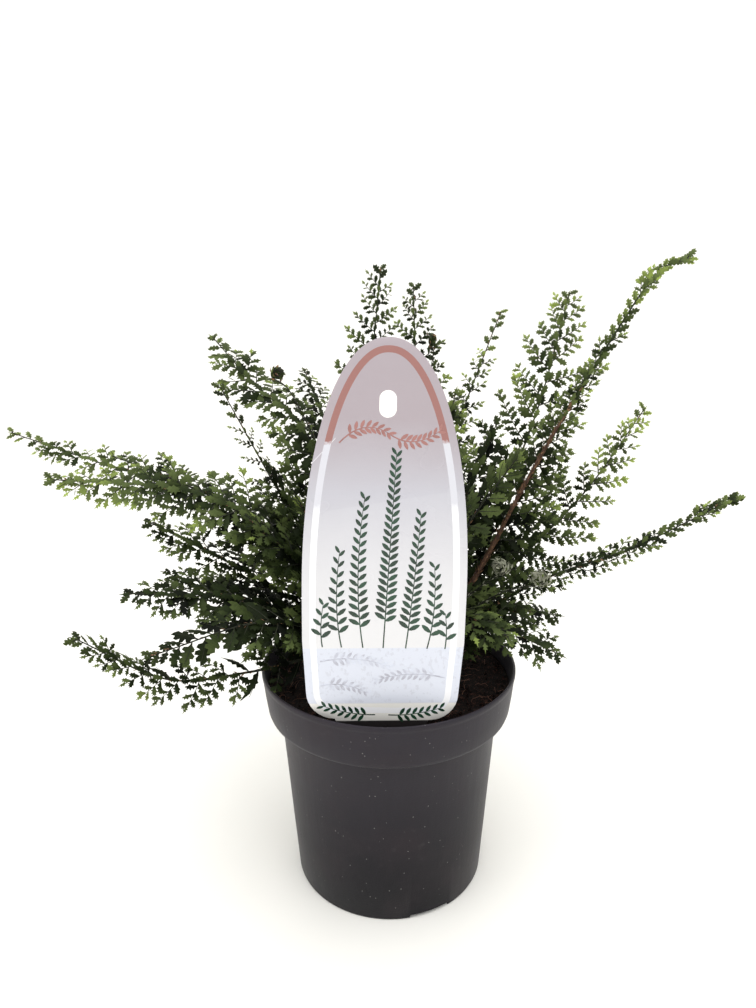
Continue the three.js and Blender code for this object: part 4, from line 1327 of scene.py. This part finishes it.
class FERN_OT_label(bpy.types.Operator):
    """Builds the plant label with its stripe, hanging hole, stake and printed sprigs"""

    bl_idname = "fern.label"
    bl_label = "Plant label"

    def execute(self, context):
        look = context.scene.fern_label
        plate = self.plate(look)
        cut(plate, self.hole())
        smooth(plate, 30)
        green = print_material("sprig_ink", look.sprig_green, [2 * c for c in look.sprig_green])
        pale = print_material("pale_ink", look.sprig_pale, look.sheet_band)
        coral = print_material("coral_ink", look.stripe_coral,
                               [min(1, 1.15 * c) for c in look.stripe_coral])
        label = joined("plant_label", plate,
                       self.sprigs("sprigs", TALL_SPRIGS, (6.2, 3.8), green),
                       self.sprigs("foot_row", FOOT_ROW, (4.6, 3.6), green),
                       self.sprigs("pale_row", PALE_ROW, (4.4, 3), pale),
                       self.sprigs("garland", GARLAND, (4.4, 3.4), coral))
        label.data.transform(label_place())
        finished(label, "label_plastic", "label")
        return {"FINISHED"}

    def plate(self, look):
        """The sheet, with a ring of faces for its edge and one for its stripe, and its stake."""
        nothing_selected()
        outline = tongue_outline()
        bpy.ops.mesh.primitive_circle_add(vertices=len(outline), radius=1, fill_type="NGON")
        plate = named(bpy.context.object, "label_plate")
        ring = sorted(plate.data.vertices, key=lambda v: math.atan2(v.co.y, v.co.x))
        for vertex, (x, y) in zip(ring, outline):
            vertex.co = (x * MM, y * MM, 0)
        for material in (sheet_material(look), stripe_material(look)):
            plate.data.materials.append(material)
        with editing():
            for width in (look.edge, look.stripe):
                bpy.ops.mesh.inset(thickness=width, use_even_offset=True)
        self.mark_stripe(plate, outline, look)
        low = LABEL_FOOT * MM + 1e-6
        drawn_out(plate, lambda co: co.y < low, (0, (STAKE_END - LABEL_FOOT) * MM, 0),
                  STAKE_TIP_HALF_WIDTH / STAKE_HALF_WIDTH)
        modify(plate, "SOLIDIFY", thickness=LABEL_THICK * MM, offset=0)
        modify(plate, "BEVEL", width=0.12 * MM, segments=2, limit_method="ANGLE",
               angle_limit=math.radians(60))
        return plate

    def mark_stripe(self, plate, outline, look):
        """Gives the stripe's material to the ring of faces that lies inside the bare edge."""
        edge = np.array(outline) * MM
        span = np.roll(edge, -1, axis=0) - edge
        rings = sorted(plate.data.polygons, key=lambda face: len(face.vertices))
        for face in rings[:-1]:
            middle = np.array(face.center)[:2]
            share = np.clip(np.sum((middle - edge) * span, axis=1)
                            / np.maximum(np.sum(span * span, axis=1), 1e-12), 0, 1)
            gaps = np.linalg.norm(edge + share[:, None] * span - middle, axis=1)
            face.material_index = int(gaps.min() > look.edge)

    def hole(self):
        """The cutter of the hanging hole, a round-ended slot."""
        nothing_selected()
        radius = HANG_HOLE_SIZE[0] / 2
        bpy.ops.mesh.primitive_cylinder_add(
            vertices=48, radius=radius * MM, depth=6 * MM, location=(0, HANG_HOLE_AT * MM, 0))
        cutter = bpy.context.object
        bpy.ops.object.transform_apply(location=True)
        spread = HANG_HOLE_SIZE[1] / 2 - radius
        for vertex in cutter.data.vertices:
            away = vertex.co.y / MM - HANG_HOLE_AT
            if abs(away) > 0.01:
                vertex.co.y += math.copysign(spread, away) * MM
        return cutter

    def sprigs(self, name, courses, sizes, ink):
        """Printed sprigs of paired leaves on bent stems, thin enough to read as ink."""
        copies = Copies({"oval": Model(OVAL_LEAF, 0.008, 0, 0)})
        stems = []
        up = np.array([0, 0, 1.0])
        front = LABEL_THICK / 2 + 0.04
        for start, bend, end, pairs in courses:
            a, b, c = (np.array([*place, front]) for place in (start, bend, end))
            stems.append([(bent(a, b, c, t), mix(0.3, 0.12, t)) for t in np.linspace(0, 1, 13)])
            for i in range(pairs):
                for hand in (1, -1):
                    t = mix(0.13, 1, (i + (0.8 if hand > 0 else 0.5)) / pairs)
                    way = unit(2 * (1 - t) * (b - a) + 2 * t * (c - b))
                    side = np.cross(up, way) * hand
                    angle = math.radians(mix(62, 34, t))
                    out = turned(way, side, angle)
                    copies.add("oval", bent(a, b, c, t), out, np.cross(up, out), up,
                               mix(*sizes, t))
        leaves = copies.mesh(name + "_leaves")
        stalks = tubes(name + "_stems", stems, 1)
        for vertex in stalks.data.vertices:
            lift = vertex.co.z / MM - front
            vertex.co.z = (front + 0.1 * lift) * MM
        print_on = joined(name, leaves, stalks)
        print_on.data.materials.append(ink)
        return print_on


class FERN_OT_fronds(bpy.types.Operator):
    """Builds every frond and crozier: stalk, pinnae, toothed leaflets and scales"""

    bl_idname = "fern.fronds"
    bl_label = "Fronds"

    def execute(self, context):
        look = context.scene.fern_leaf
        models = {
            "lobed": Model(LOBED_LEAFLET, 0.03, 0.14, 0.22, 0.08),
            "feather": Model(FEATHER_LEAFLET, 0.02, 0.10, 0.25, 0.30),
            "broad": Model(BROAD_LEAFLET, 0.035, 0.10, 0.22, 0.06),
            "narrow": Model(NARROW_LEAFLET, 0.035, 0.12, 0.25, 0.08),
            "pointed": Model(POINTED_LEAFLET, 0.035, 0.16, 0.30),
            "scale": Model(SCALE_OUTLINE, 0.05, 0.10, 0.10),
        }
        materials = {
            "leaf": leaf_material(look),
            "stalk": stalk_material("fern_stalk", look.stalk_dark, look.stalk_green),
            "red": stalk_material("fern_red_stalk", look.stalk_red, look.stalk_tan,
                                  look.leaf_mid),
            "scale": scale_material("fern_scale", look.scale_dark, look.scale_light),
            "pale": scale_material("fern_pale_scale", look.scale_grey, look.scale_pale),
        }
        red = next(Stalk(course) for course in FRONDS if course.red)
        bared = np.array([red.point(share) for share in np.linspace(*BARED, 30)])
        inner = []
        for number, course in enumerate(FRONDS + INNER_FRONDS):
            piece = self.grow(look, models, materials, Stalk(course), bared,
                              np.random.default_rng(100 + number))
            if course in INNER_FRONDS:
                inner.append(piece)
            else:
                finished(piece, "fern_green", course.name)
        finished(joined("inner_fronds", *inner), "fern_green")
        return {"FINISHED"}

    def grow(self, look, models, materials, stalk, bared, random):
        """One frond, from its seat in the crown to its tip."""
        course = stalk.course
        leaves = Copies(models)
        ribs = self.add_pinnae(look, leaves, stalk, bared, random)
        middle = self.main_line(look, stalk)
        scales = Copies(models)
        if course.coiled:
            middle += self.coil(leaves, scales, stalk, random)
        self.add_scales(look, scales, stalk, random)
        foliage = leaves.mesh("foliage", kept_clear)
        foliage.data.materials.append(materials["leaf"])
        rods = tubes("rods", [middle], 2)
        rods.data.materials.append(materials["red" if course.red else "stalk"])
        twigs = tubes("twigs", ribs, 0)
        twigs.data.materials.append(materials["stalk"])
        for thing in (rods, twigs):
            smooth(thing, 60)
            places = np.array([v.co for v in thing.data.vertices]) / MM
            seat = places[:, 2] < PEAT_TOP + 3
            clear = np.where(seat[:, None], places, kept_clear(places))
            thing.data.vertices.foreach_set("co", (clear * MM).ravel())
        chaff = scales.mesh("chaff", kept_clear)
        chaff.data.materials.append(materials["pale" if course.pale else "scale"])
        return joined(course.name + "_grown", foliage, rods, twigs, chaff)

    def thickness(self, look, stalk):
        """Half the stalk's thickness at its foot."""
        return look.stalk_radius / MM * (RED_THICKNESS if stalk.course.red else 1)

    def main_line(self, look, stalk):
        """The stalk's points and radii, from inside the crown."""
        thick = self.thickness(look, stalk)
        line = [(stalk.root, thick * 1.15), (mix(stalk.root, stalk.point(0), 0.5), thick * 1.1)]
        for share in np.linspace(0, 1, 42):
            line.append((stalk.point(share), mix(thick, STALK_THIN, share ** 0.8)))
        return line

    def add_pinnae(self, look, leaves, stalk, bared, random):
        """Pinnae by turns left and right, and the leaflet at the tip. Returns their ribs."""
        course = stalk.course
        bare = BARE_SHARE * course.bare
        leafy = stalk.length * (1 - bare)
        gap = look.pinna_spacing / MM * course.gap
        spacing = look.leaflet_spacing / MM * course.leaf ** 0.7
        count = max(6, round(PER_GAP * leafy / gap))
        ribs = []
        for i in range(count):
            along = 1 - (1 - (i + 0.3 + random.uniform(-0.15, 0.15)) / count) ** CROWDING
            pinna = self.pinna(stalk, along, mix(bare, 1, along), 1 if i % 2 else -1, random)
            points = [pinna.point(s) for s in np.linspace(0, 1.15, PINNA_POINTS)]
            clear = before_gap(np.array(points), bared)
            if clear < PINNA_POINTS:
                pinna.length *= clear / PINNA_POINTS - 0.1
            if pinna.length < SHORTEST_LEFT:
                continue
            # Painted shade and light with youth: leaves low on the stalk, inside the plant, are
            # darker, and towards the tip lighter.
            age = course.glow * (0.25 + 0.75 * along ** 1.3)
            grow_pinna(leaves, pinna, course, spacing, age, random)
            ribs.append(pinna.rib(RIB_RADII["long" if pinna.length > LONG_RIB else "short"]))
        if not course.coiled:
            tangent, side, up = stalk.frame(1)
            leaves.add("pointed", stalk.point(0.985), tangent, side, up,
                       TIP_LEAFLET["frond"] * course.leaf, course.glow, 0.6)
        return ribs

    def pinna(self, stalk, along, share, hand, random):
        """The pinna that stands at a share of the stalk, on its left or its right."""
        course = stalk.course
        tangent, side, up = stalk.frame(share)
        held = min(max(2.5 * (along - course.clasp) + 0.5, 0), 1)
        forward = (mix(*FORWARD, along) * mix(1, 0.72, held)
                   + random.normal(0, PINNA_WOBBLE["forward"]))
        flat = turned(tangent, side, hand * math.radians(forward))
        tilt = CLASPED_BY * held - DROOP + random.normal(0, PINNA_WOBBLE["tilt"])
        out = unit(turned(flat, up, math.radians(tilt)))
        length = course.pinna * pinna_share(along, course.even)
        length *= course.spread * mix(1, CLASPED_LENGTH, held) * random.uniform(*PINNA_CHANGE)
        if held > 0.5 and along > CLASPED_TIPS["from"]:
            length *= CLASPED_TIPS["length"]
        if course.coiled:
            length = max(length * mix(0.7, 0.25, along), 4.5)
        else:
            length = max(length, SHORTEST_PINNA * random.uniform(0.9, 1.15))
        return Pinna(stalk.point(share), out, square(tangent, out), square(up, out), length)

    def coil(self, leaves, scales, stalk, random):
        """The crozier's rolled tip, wrapped in folded leaflets and scales."""
        tangent, side, up = stalk.frame(1)
        centre = stalk.point(1) + COIL_RADIUS[0] * up
        line = []
        for i in range(1, COIL_STEPS + 1):
            share = i / COIL_STEPS
            angle = math.radians(COIL_TURN * share)
            radius = mix(*COIL_RADIUS, share)
            outward = turned(-up, tangent, angle)
            onward = turned(tangent, up, angle)
            point = centre + radius * outward
            line.append((point, mix(*COIL_THICKNESS, math.sin(math.pi * share))))
            for hand in (1, -1):
                out = unit(onward - hand * 0.5 * side + random.normal(0, 0.3, 3))
                face = unit(hand * side + 0.5 * outward + random.normal(0, 0.2, 3))
                face = square(face, out)
                place = point + hand * random.uniform(0.7, 1.5) * side
                leaves.add("narrow", place, out, np.cross(face, out), face,
                           random.uniform(*COIL_LEAFLET), COIL_AGE, random.random())
                for _ in range(3 if stalk.course.pale else i % 6 // 5):
                    spot = place + random.uniform(0, 1.2) * outward + random.normal(0, 0.8, 3)
                    scales.add("scale", spot, out, np.cross(face, out), face,
                               random.uniform(*COIL_SCALE), 0, random.random())
        return line

    def add_scales(self, look, scales, stalk, random):
        """Brown scales on the stalk, most of them low down, and thick on the red one."""
        red = stalk.course.red
        thick = self.thickness(look, stalk)
        for _ in range(look.scales * (RED_SCALES if red else 1)):
            share = 0.66 * random.random() if red else random.random() ** 1.8
            tangent, side, up = stalk.frame(share)
            angle = random.uniform(0, 2 * math.pi)
            off = turned(side, up, angle)
            out = unit(tangent + 0.45 * off + random.normal(0, 0.25, 3))
            face = square(off, out)
            place = stalk.point(share) + off * mix(thick, 0.3, share ** 0.8) * 0.9
            scales.add("scale", place, out, np.cross(face, out), face,
                       random.uniform(*STALK_SCALE) * mix(1, 0.6, share), 0, random.random())


class FERN_OT_stage(bpy.types.Operator):
    """Builds the pale sweep, the soft lights and the camera"""

    bl_idname = "fern.stage"
    bl_label = "Stage"

    def execute(self, context):
        look = context.scene.fern_stage
        self.sweep(look)
        self.sky(look)
        self.lamp("key_light", (0.15, -0.55, 1.35), (0, 0.02, 0.12), 1.3, look.key)
        self.lamp("fill_light", (-1.1, -0.5, 0.6), (0, 0, 0.15), 0.9, look.fill)
        self.lamp("wall_light", (0, 0.9, 2.4), (0, 2.3, 0.5), 1.8, look.wall)
        self.camera()
        context.scene.view_settings.view_transform = "Standard"
        return {"FINISHED"}

    def sweep(self, look):
        """A floor that curves up into a far wall behind the plant."""
        nothing_selected()
        bpy.ops.mesh.primitive_plane_add(size=8, location=(0, -1.8, 0))
        floor = named(bpy.context.object, "studio_floor")
        bpy.ops.object.transform_apply(location=True)
        drawn_out(floor, lambda co: co.y > 2, (0, 0, 3.2))
        modify(floor, "BEVEL", width=1.1, segments=24, limit_method="ANGLE")
        smooth(floor, 40)
        palette = Palette("pale_floor", roughness=0.6, specular=0.25)
        tone = palette.noise(0.5, detail=1)
        floor.data.materials.append(palette.paint(base_color=palette.blend(
            tone * 0.15, look.floor, [0.98 * c for c in look.floor])))

    def sky(self, look):
        """Even white light all round."""
        world = bpy.data.worlds.new("studio")
        world.use_nodes = True
        background = world.node_tree.nodes["Background"]
        background.inputs["Color"].default_value = (1, 1, 1, 1)
        background.inputs["Strength"].default_value = look.sky
        bpy.context.scene.world = world

    def lamp(self, name, place, aim, size, power):
        """A square soft light that faces aim."""
        nothing_selected()
        bpy.ops.object.light_add(type="AREA", location=place)
        lamp = named(bpy.context.object, name)
        lamp.data.size = size
        lamp.data.energy = power
        lamp.rotation_euler = (Vector(aim) - Vector(place)).to_track_quat("-Z", "Y").to_euler()

    def camera(self):
        """The camera, from slightly above the front."""
        right = Vector((1, 0, 0))
        ahead = Vector((0, math.cos(PITCH), -math.sin(PITCH)))
        above = Vector((0, math.sin(PITCH), math.cos(PITCH)))
        x, y = turned(right, above, ROLL), turned(above, -right, ROLL)
        data = bpy.data.cameras.new("camera")
        data.sensor_width = 36
        data.lens = LENS
        data.clip_start = 0.02
        camera = bpy.data.objects.new("camera", data)
        bpy.context.scene.collection.objects.link(camera)
        turn = Matrix((x, y, -ahead)).transposed().to_4x4()
        camera.matrix_world = Matrix.Translation(VIEWPOINT * MM) @ turn
        bpy.context.scene.camera = camera


class FERN_PT_panel(bpy.types.Panel):
    """Lists the pieces of the potted fern"""

    bl_idname = "FERN_PT_panel"
    bl_label = "Potted Fern"
    bl_space_type = "VIEW_3D"
    bl_region_type = "UI"
    bl_category = "Fern"

    def draw(self, context):
        for step in STEPS:
            self.layout.operator(step.bl_idname)
        for group in SETTINGS:
            look = getattr(context.scene, group)
            box = self.layout.box()
            for key in look.__annotations__:
                box.prop(look, key)


STEPS = (FERN_OT_pot, FERN_OT_peat, FERN_OT_crown, FERN_OT_label, FERN_OT_fronds, FERN_OT_stage)
SETTINGS = {"fern_pot": FernPotLook, "fern_leaf": FernLeafLook, "fern_label": FernLabelLook,
            "fern_stage": FernStageLook}


def register():
    """Registers the settings, the operators and the panel."""
    for name, group in SETTINGS.items():
        bpy.utils.register_class(group)
        setattr(bpy.types.Scene, name, PointerProperty(type=group))
    for kind in (*STEPS, FERN_PT_panel):
        bpy.utils.register_class(kind)


def unregister():
    """Removes what register added."""
    for kind in (FERN_PT_panel, *reversed(STEPS)):
        bpy.utils.unregister_class(kind)
    for name, group in SETTINGS.items():
        delattr(bpy.types.Scene, name)
        bpy.utils.unregister_class(group)


def main():
    """Builds the plant on its stage."""
    register()
    bpy.ops.fern.pot()
    bpy.ops.fern.peat()
    bpy.ops.fern.crown()
    bpy.ops.fern.label()
    bpy.ops.fern.fronds()
    bpy.ops.fern.stage()


if __name__ == "__main__":
    main()
